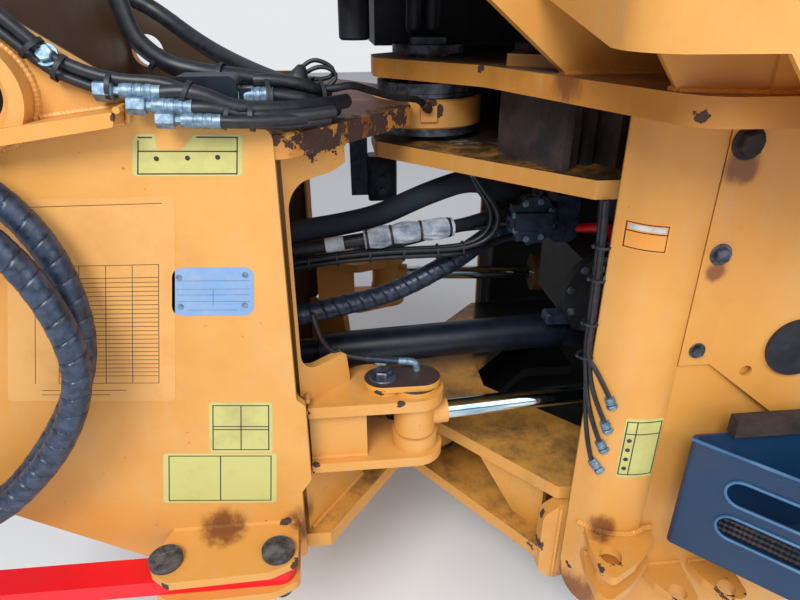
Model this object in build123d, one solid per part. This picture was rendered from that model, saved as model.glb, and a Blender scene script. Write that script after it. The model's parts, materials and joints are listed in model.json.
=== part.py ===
from build123d import *
import math
import os

# Centre joint of an articulated wheel loader: the back of its front frame and
# the front of its rear frame, with the hinge, both steering cylinders and the
# propeller shaft. Lengths are in millimetres, angles in degrees.
# In the tables, x is forward of the hinge axis, y is to the left and heights
# are above the ground. save() moves each piece into the part's own frame,
# whose origin is on the rear cut, in the middle of the rear frame.

# The part's frame
HINGE_TO_REAR_CUT = 1150.0
DATUM_HEIGHT = 850.0
FRONT_CUT = 1130.0

# Hinge bearings
PIN_R = 45.0
RUNNING_GAP = 1.0
HOUSING_R = 130.0
LUG_T = 40.0
UPPER_LUG_TOP = 1410.0
LOWER_LUG_TOP = 500.0
HOUSING_OVER_LUG = 4.0
HOUSING_DEPTH = 64.0
SEAL_R = 118.0
UPPER_SEAL_T = 32.0
LOWER_SEAL_T = 17.0
PIN_WASHER_R = 52.0
PIN_WASHER_T = 8.0
PIN_CAP_R = 82.0
PIN_CAP_T = 18.0
PIN_RETAINER = (76.0, 60.0, 14.0)

# Rear frame plates
TOP_PLATE_T = 40.0
TOP_PLATE_BOTTOM = 1457.0
HINGE_PLATE_T = 35.0
HINGE_PLATE_TOP = 1320.0
FORK_T = 35.0
FORK_UPPER_TOP = 605.0
FORK_LOWER_BOTTOM = 380.0
TOP_PLATE_HALF_WIDTH = 757.0
REAR_WALL_Y = 560.0
REAR_WALL_T = 25.0
REAR_WALL_NOSE_X = -272.0
REAR_WALL_NOSE_Y = 510.0
REAR_WALL_BEND_X = -314.0
REAR_WALL_BOTTOM = 245.0
REAR_INNER_Y = 484.0
PLATFORM_FRONT_X = -100.0
PLATFORM_SIDE_Y = 865.0
CAB_FLOOR_BOTTOM = 1628.0

# Front frame plates
SIDE_PLATE_Y = 490.0
SIDE_PLATE_T = 25.0
SIDE_PLATE_BACK_X = 323.0
WEB_T = 20.0
WEB_START = (318.0, 441.0)
WEB_DIRECTION = (-0.808, -0.589)
LOWER_WEB_START = (322.0, 448.0)
LOWER_WEB_END = (190.0, 272.0)

# Steering clevises, cylinders and their pins
STEER_X = 72.0
STEER_Y = 400.0
CLEVIS_R = 62.0
CLEVIS_UPPER_T = 27.0
CLEVIS_LOWER_T = 24.0
STEER_PIN_R = 25.0
EYE_R = 47.0
EYE_MID = 778.0
EYE_HEIGHT = 76.0
EYE_TO_UPPER_PLATE = 7.0
EYE_TO_LOWER_BOSS = 3.0
LOWER_BOSS_HEIGHT = 36.0
EYE_BOTTOM = EYE_MID - EYE_HEIGHT / 2
CLEVIS_UPPER_BOTTOM = EYE_MID + EYE_HEIGHT / 2 + EYE_TO_UPPER_PLATE
CLEVIS_TOP = CLEVIS_UPPER_BOTTOM + CLEVIS_UPPER_T
CLEVIS_LOWER_TOP = EYE_BOTTOM - EYE_TO_LOWER_BOSS - LOWER_BOSS_HEIGHT
CLEVIS_BOTTOM = CLEVIS_LOWER_TOP - CLEVIS_LOWER_T
ROD_R = 22.5
BARREL_R = 55.0
BARREL_BORE_R = 41.0
BARREL_HEAD_X = -420.0
ANCHOR_X = -1060.0
ANCHOR_Y = 295.0
ANCHOR_R = 58.0

# Propeller shaft
UJOINT_REACH = 450.0
SHAFT_REAR_Z = 752.0
SHAFT_FRONT_Z = 708.0
SHAFT_R = 50.0
SPLINE_R = 33.0
SPLINE_GAP = 5.0
FLANGE_PCD = 116.0
FLANGE_HOLES = 8
FLANGE_HOLE_R = 5.5

# Frame lock
LOCK_TOP = 571.0
LOCK_PLATE_T = 20.0
LOCK_BAR_T = 38.0
LOCK_PIN_R = 22.0
LOCK_HEAD_R = 34.0
LOCK_PITCH = 705.0
LOCK_PIN_X = 379.0
LOCK_PIN_Y = 575.0
LOCK_REAR_Y = 628.0


def outline(rows):
    """A face from corners given as x, y and corner radius."""
    face = make_face(Polyline(*[(x, y) for x, y, r in rows], close=True))
    for x, y, r in rows:
        if r:
            corner = face.vertices().sort_by_distance((x, y, 0))[0]
            face = fillet(corner, r)
    return face


def flat_plate(rows, bottom, thickness):
    """A horizontal plate whose outline is given in plan."""
    return extrude(Pos(0, 0, bottom) * outline(rows), amount=thickness, dir=(0, 0, 1))


def upright_plate(rows, y, thickness):
    """A plate along the machine: outline in x and height, y of its inner face."""
    return extrude(Pos(0, y, 0) * (Plane.XZ * outline(rows)), amount=thickness, dir=(0, 1, 0))


def web_plate(rows, start, direction, thickness):
    """An upright plate along a plan direction: outline in run and height."""
    dx, dy = direction
    along = Plane(origin=(start[0], start[1], 0), x_dir=(dx, dy, 0), z_dir=(dy, -dx, 0))
    return extrude(along * outline(rows), amount=thickness, dir=(-dy, dx, 0))


def both_sides(rows):
    """Closes an outline given for the left side with its mirrored right side."""
    return rows + [(x, -y, r) for x, y, r in reversed(rows)]


def round_bar(x, y, bottom, height, radius):
    return Pos(x, y, bottom + height / 2) * Cylinder(radius, height)


def right(shape):
    return mirror(shape, about=Plane.XZ)


TO_PART = Pos(HINGE_TO_REAR_CUT, 0, -DATUM_HEIGHT)
os.makedirs("parts", exist_ok=True)


def save(name, *solids):
    placed = [TO_PART * solid for solid in solids]
    shape = placed[0] if len(placed) == 1 else Compound(children=placed)
    export_step(shape, f"parts/{name}.step")


REAR_END = -HINGE_TO_REAR_CUT
TOP_PLATE_TOP = TOP_PLATE_BOTTOM + TOP_PLATE_T
HINGE_PLATE_BOTTOM = HINGE_PLATE_TOP - HINGE_PLATE_T
FORK_UPPER_BOTTOM = FORK_UPPER_TOP - FORK_T
FORK_LOWER_TOP = FORK_LOWER_BOTTOM + FORK_T
REAR_WALL_INNER_Y = REAR_WALL_Y - REAR_WALL_T
SIDE_PLATE_INNER_Y = SIDE_PLATE_Y - SIDE_PLATE_T

# Rear top plate, open at the back over the drive line
TOP_PLATE_ROWS = [
    (130, 60, 50),
    (-74, 277, 120),
    (-250, TOP_PLATE_HALF_WIDTH, 70),
    (REAR_END, TOP_PLATE_HALF_WIDTH, 0),
    (REAR_END, 430, 0),
    (-560, 430, 80),
]
PIN_HOLE_R = PIN_R + 0.5
top_plate = flat_plate(both_sides(TOP_PLATE_ROWS), TOP_PLATE_BOTTOM, TOP_PLATE_T)
top_plate -= round_bar(0, 0, TOP_PLATE_BOTTOM, TOP_PLATE_T, PIN_HOLE_R)
PAD_ROWS = [(-113, 285, 0), (-191, 353, 0), (-237, 301, 0), (-159, 233, 0)]
PAD_T = 22.0
top_plate += flat_plate(PAD_ROWS, TOP_PLATE_TOP, PAD_T)
save("rear_top_plate", top_plate)

# Hinge plate under it
HINGE_PLATE_ROWS = [(131, 90, 45), (-240, REAR_INNER_Y, 10), (-480, REAR_INNER_Y, 0)]
hinge_plate = flat_plate(both_sides(HINGE_PLATE_ROWS), HINGE_PLATE_BOTTOM, HINGE_PLATE_T)
hinge_plate -= round_bar(0, 0, HINGE_PLATE_BOTTOM, HINGE_PLATE_T, PIN_HOLE_R)
save("rear_hinge_plate", hinge_plate)

# Lower fork: two plates, open behind the hinge, with gussets between them
FORK_NOTCH_ROWS = [(-600, 310, 0), (-420, 310, 60), (-175, 60, 30)]
FORK_UPPER_ROWS = [(131, 48, 40), (-252, REAR_INNER_Y, 10), (-600, REAR_INNER_Y, 0)] + FORK_NOTCH_ROWS
FORK_LOWER_ROWS = [(118, 20, 15), (-225, REAR_INNER_Y, 10), (-600, REAR_INNER_Y, 0)] + FORK_NOTCH_ROWS
GUSSET_T = 20.0
GUSSET_RUN = 230.0
GUSSET_FOOT = 80.0
fork_top, fork_bottom = [
    flat_plate(both_sides(rows), bottom, FORK_T) - round_bar(0, 0, bottom, FORK_T, PIN_HOLE_R)
    for rows, bottom in ((FORK_UPPER_ROWS, FORK_UPPER_BOTTOM), (FORK_LOWER_ROWS, FORK_LOWER_BOTTOM))]
gusset = web_plate(
    [(0, FORK_UPPER_BOTTOM, 0), (GUSSET_RUN, FORK_UPPER_BOTTOM, 0), (GUSSET_RUN, FORK_LOWER_TOP, 0),
     (GUSSET_RUN - GUSSET_FOOT, FORK_LOWER_TOP, 0)],
    (-95, 245), (-0.655, 0.756), GUSSET_T)
lower_fork = fork_top + fork_bottom + gusset + right(gusset)
save("lower_fork", lower_fork)

# Rear side walls, rolled at the front
wall_plan = outline([
    (REAR_WALL_NOSE_X, REAR_WALL_NOSE_Y, 0),
    (REAR_WALL_BEND_X, REAR_WALL_Y, 60),
    (REAR_END, REAR_WALL_Y, 0),
    (REAR_END, REAR_WALL_INNER_Y, 0),
    (REAR_WALL_BEND_X - 12, REAR_WALL_INNER_Y, 35),
    (REAR_WALL_NOSE_X - 18, REAR_WALL_NOSE_Y - 17, 0),
])
wall = extrude(Pos(0, 0, REAR_WALL_BOTTOM) * wall_plan,
               amount=TOP_PLATE_BOTTOM - REAR_WALL_BOTTOM, dir=(0, 0, 1))
corner_cut = upright_plate(
    [(REAR_WALL_NOSE_X + 50, REAR_WALL_BOTTOM - 40, 0), (REAR_WALL_NOSE_X + 50, 400, 0),
     (REAR_WALL_NOSE_X - 2, 400, 0), (REAR_WALL_NOSE_X - 10, 330, 60), (-400, REAR_WALL_BOTTOM - 1, 60),
     (-420, REAR_WALL_BOTTOM - 40, 0)], 400, 200)
wall -= corner_cut
save("rear_side_walls", wall, right(wall))

# Bolted covers over the service openings, with a round cap
COVER_T = 6.0
cover_plan = outline([
    (-420, REAR_WALL_Y, 0), (-480, REAR_WALL_Y, 0), (-1100, REAR_WALL_Y + 42, 0),
    (-1100, REAR_WALL_Y + 42 + COVER_T, 0), (-479, REAR_WALL_Y + COVER_T, 0),
    (-420, REAR_WALL_Y + COVER_T, 0)])
cover = extrude(Pos(0, 0, 700) * cover_plan, amount=745, dir=(0, 0, 1))
cover_skirt = upright_plate(
    [(-400, 600, 0), (-400, 972, 0), (-484, 972, 0), (-742, 775, 0), (-1120, 720, 0), (-1120, 600, 0)],
    500, 200)
CAP_X, CAP_HEIGHT, CAP_R = -645.0, 1009.0, 60.0
cap_hole = Pos(CAP_X, REAR_WALL_Y, CAP_HEIGHT) * Rot(90, 0, 0) * Cylinder(CAP_R - 6, 200)
small_hole = Pos(-560, REAR_WALL_Y, 955) * Rot(90, 0, 0) * Cylinder(12, 200)
cover = cover - cover_skirt - cap_hole - small_hole
save("rear_covers", cover, right(cover))
cover_tilt = math.degrees(math.atan2(42, 620))
cap_y = REAR_WALL_Y + COVER_T + (-480 - CAP_X) * math.tan(math.radians(cover_tilt))
cap = Pos(CAP_X, cap_y + 4.2, CAP_HEIGHT) * Rot(0, 0, -cover_tilt) * Rot(90, 0, 0) * Cylinder(CAP_R, 8)
save("cover_caps", cap, right(cap))

# Upright plates between the two hinge plates
BOX_PLATE_T = 18.0
box_height = TOP_PLATE_BOTTOM - HINGE_PLATE_TOP
box_plates = [
    web_plate([(0, HINGE_PLATE_TOP, 0), (0, TOP_PLATE_BOTTOM, 0), (run, TOP_PLATE_BOTTOM, 0),
               (run, HINGE_PLATE_TOP, 0)],
              (-122 - offset, 225), (-0.369, 0.929), BOX_PLATE_T)
    for offset, run in ((0, 205), (40, 170), (78, 160), (116, 190))
]
save("hinge_box_plates", *box_plates, *[right(plate) for plate in box_plates])
box_back = Pos(-470, 0, (HINGE_PLATE_TOP + TOP_PLATE_BOTTOM) / 2) * Box(20, 2 * REAR_INNER_Y, box_height)
save("hinge_box_back", box_back)

# Stop blocks: upright plates between the fork plates and the noses of the side walls
STOP_Y, STOP_T = 462.0, 34.0
STOP_ROWS = [
    (-300, 330, 0), (-262, 322, 20), (-225, 350, 20), (-221, 530, 40), (-262, 560, 20), (-300, 560, 0)]
stop_block = upright_plate(STOP_ROWS, STOP_Y, STOP_T) - wall - lower_fork
stop_block = stop_block.solids().sort_by(SortBy.VOLUME)[-1]
save("stop_blocks", stop_block, right(stop_block))

# Hinge pins with their caps: name, bottom, top and the height of the cap's seat
HINGE_PINS = (
    ("upper_hinge_pin", HINGE_PLATE_BOTTOM - 20, TOP_PLATE_TOP, TOP_PLATE_TOP, 1),
    ("lower_hinge_pin", FORK_LOWER_BOTTOM, FORK_UPPER_TOP + 15, FORK_LOWER_BOTTOM, -1),
)
for name, bottom, top, seat, way in HINGE_PINS:
    pin = round_bar(0, 0, bottom, top - bottom, PIN_R)
    pin += Pos(0, 0, seat + way * PIN_WASHER_T / 2) * Cylinder(PIN_WASHER_R, PIN_WASHER_T)
    pin += Pos(0, 0, seat + way * (PIN_WASHER_T + PIN_CAP_T / 2)) * Cylinder(PIN_CAP_R, PIN_CAP_T)
    pin += Pos(0, 0, seat + way * (PIN_WASHER_T + PIN_CAP_T + PIN_RETAINER[2] / 2)) * Box(*PIN_RETAINER)
    save(name, pin)

# Front frame: bearing housings welded in the lugs, with seal rings on both faces
HOUSINGS = (("upper", UPPER_LUG_TOP, 14.0), ("lower", LOWER_LUG_TOP, -14.0))
HOUSING_BORE_R = PIN_R + RUNNING_GAP
GREASE_PAD = (36.0, 20.0, 34.0)
seal_rings = []
for name, lug_top, pad_x in HOUSINGS:
    top = lug_top + HOUSING_OVER_LUG
    bottom = top - HOUSING_DEPTH
    ring = round_bar(0, 0, bottom, HOUSING_DEPTH, HOUSING_R)
    ring = chamfer(ring.edges().filter_by(GeomType.CIRCLE), 4)
    ring -= round_bar(0, 0, bottom, HOUSING_DEPTH, HOUSING_BORE_R)
    ring += Pos(pad_x, HOUSING_R - 2, lug_top - 24) * Box(*GREASE_PAD)
    save(f"{name}_bearing_housing", ring)
    seal_top = round_bar(0, 0, top, UPPER_SEAL_T, SEAL_R) - round_bar(0, 0, top, UPPER_SEAL_T, PIN_R + 6)
    seal_bottom = (round_bar(0, 0, bottom - LOWER_SEAL_T, LOWER_SEAL_T, SEAL_R + 4)
                   - round_bar(0, 0, bottom - LOWER_SEAL_T, LOWER_SEAL_T, PIN_R + 6))
    seal_rings += [seal_top, seal_bottom]
save("seal_rings", *seal_rings)

# Front frame: lug plates, cut round the housings
UPPER_LUG_ROWS = [
    (620, SIDE_PLATE_INNER_Y, 0), (SIDE_PLATE_BACK_X, SIDE_PLATE_INNER_Y, 0),
    (SIDE_PLATE_BACK_X, SIDE_PLATE_Y - 6, 0), (300, SIDE_PLATE_Y - 14, 25), (252, 428, 45), (60, 150, 0)]
LOWER_LUG_ROWS = [
    (660, SIDE_PLATE_INNER_Y, 0), (274, SIDE_PLATE_INNER_Y, 0), (60, 150, 0)]
for name, rows, lug_top in (("upper", UPPER_LUG_ROWS, UPPER_LUG_TOP), ("lower", LOWER_LUG_ROWS, LOWER_LUG_TOP)):
    rows = rows[:-1] + [(rows[-1][0], 175, 0)]
    lug = flat_plate(both_sides(rows), lug_top - LUG_T, LUG_T)
    lug -= round_bar(0, 0, lug_top - LUG_T, LUG_T, HOUSING_R)
    save(f"front_{name}_lug", lug)

# Front frame: side plates with the loader tower rising forward
SIDE_PLATE_ROWS = [
    (SIDE_PLATE_BACK_X, 1424, 22), (SIDE_PLATE_BACK_X, 892, 12), (306, 876, 12), (306, 684, 12),
    (SIDE_PLATE_BACK_X + 5, 650, 12), (SIDE_PLATE_BACK_X + 5, 460, 10), (620, 460, 40), (680, 498, 60),
    (FRONT_CUT, 775, 0), (FRONT_CUT, 1824, 0), (700, 1592, 60), (448, 1424, 40)]
side_plate = upright_plate(SIDE_PLATE_ROWS, SIDE_PLATE_INNER_Y, SIDE_PLATE_T)
BOOM_X, BOOM_HEIGHT, BOOM_BORE_R = 757.0, 1483.0, 45.0
boom_bore = Pos(BOOM_X, SIDE_PLATE_Y, BOOM_HEIGHT) * Rot(90, 0, 0) * Cylinder(BOOM_BORE_R, 400)
side_plate -= boom_bore
save("front_side_plates", side_plate, right(side_plate))

# Pivot bosses on the towers, with a recessed face
BOSS_R, BOSS_T = 84.0, 40.0
BOSS_RECESS_R, BOSS_RECESS = 62.0, 24.0
on_boss = Pos(BOOM_X, SIDE_PLATE_Y + BOSS_T / 2, BOOM_HEIGHT) * Rot(90, 0, 0)
boss_blank = on_boss * Cylinder(BOSS_R, BOSS_T)
boss = boss_blank - Pos(0, (BOSS_T - BOSS_RECESS) / 2, 0) * on_boss * Cylinder(BOSS_RECESS_R, BOSS_RECESS)
boss -= boom_bore
save("tower_bosses", boss, right(boss))

# Ribs on the side plates, from the bosses back towards the hinge
RIB_DEPTH = 57.0
rib = upright_plate([(545, 1460, 5), (549, 1438, 5), (728, 1412, 0), (728, 1436, 0)], SIDE_PLATE_Y, RIB_DEPTH)
rib -= boss_blank
save("side_ribs", rib, right(rib))

# Web plates with their windows, open at the back
WEB_ROWS = [
    (0, UPPER_LUG_TOP - LUG_T, 0), (139, UPPER_LUG_TOP - LUG_T, 0), (139, 1334, 0), (105, 1322, 30),
    (8, 1312, 52), (8, 919, 40), (122, 926, 12), (130, CLEVIS_TOP, 0), (0, CLEVIS_TOP, 0)]
web = web_plate(WEB_ROWS, WEB_START, WEB_DIRECTION, WEB_T)

# Lower webs between the lower lug and the clevises
lower_run = math.dist(LOWER_WEB_START, LOWER_WEB_END)
lower_direction = ((LOWER_WEB_END[0] - LOWER_WEB_START[0]) / lower_run,
                   (LOWER_WEB_END[1] - LOWER_WEB_START[1]) / lower_run)
LOWER_WEB_ROWS = [
    (0, CLEVIS_LOWER_TOP - CLEVIS_LOWER_T, 0), (190, CLEVIS_LOWER_TOP - CLEVIS_LOWER_T, 0),
    (lower_run, LOWER_LUG_TOP, 0), (0, LOWER_LUG_TOP, 0)]
lower_web = web_plate(LOWER_WEB_ROWS, LOWER_WEB_START, lower_direction, WEB_T)
save("front_webs", web, lower_web, right(web), right(lower_web))

# Steering clevises: two plates, a closed box between them and bosses round the pin
clevis_rows = [(304, STEER_Y + CLEVIS_R, 0), (304, 345, 0), (170, 300, 30), (STEER_X, STEER_Y - CLEVIS_R, 0),
               (STEER_X, STEER_Y + CLEVIS_R, 0)]


def clevis_plate(bottom, thickness):
    plate = flat_plate(clevis_rows, bottom, thickness)
    return plate + round_bar(STEER_X, STEER_Y, bottom, thickness, CLEVIS_R)


clevis = clevis_plate(CLEVIS_UPPER_BOTTOM, CLEVIS_UPPER_T) + clevis_plate(CLEVIS_BOTTOM, CLEVIS_LOWER_T)
box_middle = (CLEVIS_LOWER_TOP + CLEVIS_UPPER_BOTTOM) / 2
clevis += Pos(243, 395, box_middle) * Box(122, 90, CLEVIS_UPPER_BOTTOM - CLEVIS_LOWER_TOP)
clevis += round_bar(STEER_X, STEER_Y, CLEVIS_LOWER_TOP, LOWER_BOSS_HEIGHT, EYE_R + 4)
clevis -= round_bar(STEER_X, STEER_Y, CLEVIS_BOTTOM, CLEVIS_TOP - CLEVIS_BOTTOM, STEER_PIN_R + 0.5)
save("steering_clevises", clevis, right(clevis))

# Clevis pin ends, under an obround cap with its bolt boss
cap_plate = Pos(100, 397, CLEVIS_TOP + 10) * extrude(SlotOverall(166, 84), amount=14)
cap_boss = round_bar(STEER_X, STEER_Y, CLEVIS_TOP, 10, 50) + round_bar(140, 397, CLEVIS_TOP, 10, 38)
pin_top = round_bar(STEER_X, STEER_Y, CLEVIS_UPPER_BOTTOM + 1, CLEVIS_UPPER_T - 1, STEER_PIN_R)
steer_cap = cap_plate + cap_boss + pin_top
pin_bottom = round_bar(STEER_X, STEER_Y, CLEVIS_BOTTOM - 8, EYE_BOTTOM - 4 - CLEVIS_BOTTOM + 8, STEER_PIN_R)
pin_bottom += round_bar(STEER_X, STEER_Y, CLEVIS_BOTTOM - 8, 8, STEER_PIN_R + 12)
save("clevis_caps", steer_cap, right(steer_cap))
save("clevis_pin_ends", pin_bottom, right(pin_bottom))

# Steering cylinders: rod with its eye and pin, hollow barrel with its rear eye
cylinder_run = math.dist((STEER_X, STEER_Y), (ANCHOR_X, ANCHOR_Y))
cylinder_turn = math.degrees(math.atan2(STEER_Y - ANCHOR_Y, STEER_X - ANCHOR_X))
TO_ANCHOR = Pos(ANCHOR_X, ANCHOR_Y, EYE_MID) * Rot(0, 0, cylinder_turn)
BARREL_HEAD = BARREL_HEAD_X - ANCHOR_X
BARREL_BACK, BARREL_BACK_WALL = 62.0, 13.0
GLAND_LENGTH, GLAND_R = 40.0, 62.0
PISTON_AT, PISTON_T = 337.0, 30.0
EYE_NECK_R = 30.0
NECK_START, NECK_END = cylinder_run - 72, cylinder_run - 32
ALONG = Rot(0, 90, 0)
eye = Pos(cylinder_run, 0, 0) * Cylinder(EYE_R, EYE_HEIGHT)
eye += Pos((NECK_START + NECK_END) / 2, 0, 0) * ALONG * Cylinder(EYE_NECK_R, NECK_END - NECK_START)
eye -= Pos(cylinder_run, 0, 0) * Cylinder(STEER_PIN_R + 0.5, EYE_HEIGHT)
rod = Pos((NECK_START + PISTON_AT) / 2, 0, 0) * ALONG * Cylinder(ROD_R, NECK_START - PISTON_AT)
rod += Pos(PISTON_AT, 0, 0) * ALONG * Cylinder(BARREL_BORE_R - 1, PISTON_T)
eye_pin = Pos(cylinder_run, 0, 0) * Cylinder(STEER_PIN_R, EYE_HEIGHT + 2)
barrel = Pos((BARREL_BACK + BARREL_HEAD) / 2, 0, 0) * ALONG * Cylinder(BARREL_R, BARREL_HEAD - BARREL_BACK)
barrel += Pos(BARREL_HEAD - GLAND_LENGTH / 2, 0, 0) * ALONG * Cylinder(GLAND_R, GLAND_LENGTH)
bore_start, bore_end = BARREL_BACK + BARREL_BACK_WALL, BARREL_HEAD - GLAND_LENGTH
barrel -= Pos((bore_start + bore_end) / 2, 0, 0) * ALONG * Cylinder(BARREL_BORE_R, bore_end - bore_start)
barrel -= Pos(BARREL_HEAD, 0, 0) * ALONG * Cylinder(ROD_R + 1, 4 * GLAND_LENGTH)
barrel += Cylinder(ANCHOR_R, EYE_HEIGHT) + Pos(45, 0, 0) * Box(60, 70, 60)
barrel -= Cylinder(STEER_PIN_R + 1, EYE_HEIGHT)
for name, solid in (("steering_rod", rod), ("rod_eye", eye), ("steering_eye_pin", eye_pin), ("steering_barrel", barrel)):
    placed = TO_ANCHOR * solid
    save(f"{name}_left", placed)
    save(f"{name}_right", right(placed))

# Brackets and pins that hold the barrels in the rear frame
ANCHOR_GAP = 22.0
ANCHOR_PLATE_T = 28.0
anchor_offset = EYE_HEIGHT / 2 + ANCHOR_GAP
anchor_rows = [
    (ANCHOR_X - 72, REAR_WALL_INNER_Y, 0), (ANCHOR_X + 72, REAR_WALL_INNER_Y, 0),
    (ANCHOR_X + 64, ANCHOR_Y - 10, 40), (ANCHOR_X, ANCHOR_Y - 66, 50), (ANCHOR_X - 64, ANCHOR_Y - 10, 40)]
anchor = flat_plate(anchor_rows, EYE_MID + anchor_offset, ANCHOR_PLATE_T)
anchor += flat_plate(anchor_rows, EYE_MID - anchor_offset - ANCHOR_PLATE_T, ANCHOR_PLATE_T)
anchor += Pos(ANCHOR_X, REAR_WALL_INNER_Y - 30, EYE_MID) * Box(120, 60, 2 * anchor_offset)
anchor -= round_bar(ANCHOR_X, ANCHOR_Y, EYE_MID - 200, 400, STEER_PIN_R + 0.5)
anchor_pin_length = 2 * (anchor_offset + ANCHOR_PLATE_T) + 8
anchor_pin = round_bar(ANCHOR_X, ANCHOR_Y, EYE_MID - anchor_pin_length / 2, anchor_pin_length, STEER_PIN_R)
save("cylinder_brackets", anchor, right(anchor))
save("cylinder_anchor_pins", anchor_pin, right(anchor_pin))

# Propeller shaft: rear tube over a splined front half, with a fork at each end
# whose ears stand left and right of the joint cross
shaft_drop = math.degrees(math.atan2(SHAFT_REAR_Z - SHAFT_FRONT_Z, 2 * UJOINT_REACH))
REAR_JOINT = Pos(-UJOINT_REACH, 0, SHAFT_REAR_Z)
FRONT_JOINT = Pos(UJOINT_REACH, 0, SHAFT_FRONT_Z)
ALONG_SHAFT = Rot(0, shaft_drop, 0)
EAR_R, EAR_T, EAR_INNER = 25.0, 15.0, 35.0
CUP_R, CROSS_R = 15.0, 11.0
FORK_BASE, FORK_BASE_T = 46.0, 14.0


def fork_ears(face):
    """The two ears of a fork that opens towards -X, cut along X from a disc that is face wide."""
    ear = Pos(0, 0, EAR_INNER) * extrude(make_hull((Circle(EAR_R) + Pos(FORK_BASE, 0) * Rectangle(2, face)).edges()),
                                         amount=EAR_T)
    ear -= Pos(0, 0, EAR_INNER) * Cylinder(CUP_R + 0.2, 4 * EAR_T)
    return [ear, mirror(ear, about=Plane.XY)]


def joint_fork(radius):
    """A fork with upright pin axis: base disc and ears, opening towards -X."""
    fork = Pos(FORK_BASE + FORK_BASE_T / 2, 0, 0) * Rot(0, 90, 0) * Cylinder(radius, FORK_BASE_T)
    for ear in fork_ears(60):
        fork += ear
    return fork


cross_reach = EAR_INNER + EAR_T - 1
cross = Cylinder(CROSS_R, 2 * cross_reach) + Rot(90, 0, 0) * Cylinder(CROSS_R, 2 * cross_reach)
cross += Cylinder(CROSS_R + 7, 28) + Rot(90, 0, 0) * Cylinder(CROSS_R + 7, 28)
for turn in (0, 90, 180, 270):
    cross += Rot(turn, 0, 0) * Pos(0, 0, EAR_INNER + EAR_T / 2 - 1) * Cylinder(CUP_R, EAR_T)
TUBE_START, TUBE_END = FORK_BASE, 745.0
STUB_REACH = 320.0
side_fork = Rot(90, 0, 0) * joint_fork(SHAFT_R + 2)
tube = Pos((TUBE_START + TUBE_END) / 2, 0, 0) * Rot(0, 90, 0) * Cylinder(SHAFT_R, TUBE_END - TUBE_START)
tube -= Pos(TUBE_END - 200, 0, 0) * Rot(0, 90, 0) * Cylinder(SPLINE_R + SPLINE_GAP, 401)
rear_half = ALONG_SHAFT * (tube + side_fork) + cross
stub = Pos(-(STUB_REACH + FORK_BASE) / 2, 0, 0) * Rot(0, 90, 0) * Cylinder(SPLINE_R, STUB_REACH - FORK_BASE)
front_half = ALONG_SHAFT * (stub + mirror(side_fork, about=Plane.YZ)) + cross
save("propeller_shaft_rear", REAR_JOINT * rear_half)
save("propeller_shaft_front", FRONT_JOINT * front_half)

# Gearbox end with its output flange, and the flange shaft in the front frame
FLANGE_R = 72.0
GEARBOX_FRONT_X = -570.0
SIDE_HOUSING = (-500.0, 930.0, 200.0, 300.0)
ROUND_COVER = (-445.0, 938.0, 112.0, 30.0)
gearbox = Pos(GEARBOX_FRONT_X - 290, 0, 925) * Box(580, 450, 620)
gearbox = chamfer(gearbox.edges().filter_by(Axis.X), 60)
housing_x, housing_height, housing_length, housing_width = SIDE_HOUSING
gearbox += Pos(housing_x + 20, 0, housing_height) * Box(housing_length, housing_width, housing_length)
cover_x, cover_height, cover_r, cover_t = ROUND_COVER
gearbox += Pos(cover_x, (housing_width + cover_t) / 2, cover_height) * Rot(90, 0, 0) * Cylinder(cover_r, cover_t)
fork_back_x = -UJOINT_REACH - FORK_BASE - FORK_BASE_T
gearbox += Pos((GEARBOX_FRONT_X + fork_back_x) / 2, 0, SHAFT_REAR_Z) * Rot(0, 90, 0) * Cylinder(
    70, fork_back_x - GEARBOX_FRONT_X)
save("gearbox", gearbox)
output_flange = REAR_JOINT * mirror(joint_fork(58), about=Plane.YZ)
save("output_flange", output_flange)
flange_back = 759.0
axle_flange = FRONT_JOINT * joint_fork(58)
neck_start = UJOINT_REACH + FORK_BASE + FORK_BASE_T
axle_flange += Pos((neck_start + flange_back) / 2, 0, SHAFT_FRONT_Z) * Rot(0, 90, 0) * Cylinder(
    38, flange_back - neck_start)
axle_flange += Pos(flange_back - 7, 0, SHAFT_FRONT_Z) * Rot(0, 90, 0) * Cylinder(FLANGE_R, 14)
for spot in PolarLocations(FLANGE_PCD / 2, FLANGE_HOLES):
    axle_flange -= Pos(flange_back - 7, 0, SHAFT_FRONT_Z) * Rot(0, 90, 0) * spot * Cylinder(FLANGE_HOLE_R, 14)
save("front_axle_flange", axle_flange)

# Cross plates in the front frame, the lower one with the shaft bearing, a window
# and the fittings where the hoses that cross the hinge begin
CROSS_X, CROSS_T = 650.0, 20.0
CROSS_BACK_X = CROSS_X - CROSS_T / 2
BEARING_R = 75.0
cross = Pos(CROSS_X, 0, 950) * Box(CROSS_T, 2 * SIDE_PLATE_INNER_Y, 900)
cross -= Pos(CROSS_X, 0, 1180) * Box(CROSS_T, 560, 220)
cross -= Pos(CROSS_X, 0, SHAFT_FRONT_Z) * Rot(0, 90, 0) * Cylinder(BEARING_R, CROSS_T)
tower_cross = Pos(820, 0, 1510) * Box(CROSS_T, 2 * SIDE_PLATE_INNER_Y, 240)
save("front_cross_plate", cross, tower_cross)
shaft_bearing = Cylinder(BEARING_R, 60) - Cylinder(38.5, 60)
save("shaft_bearing", Pos(CROSS_X, 0, SHAFT_FRONT_Z) * Rot(0, 90, 0) * shaft_bearing)

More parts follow.
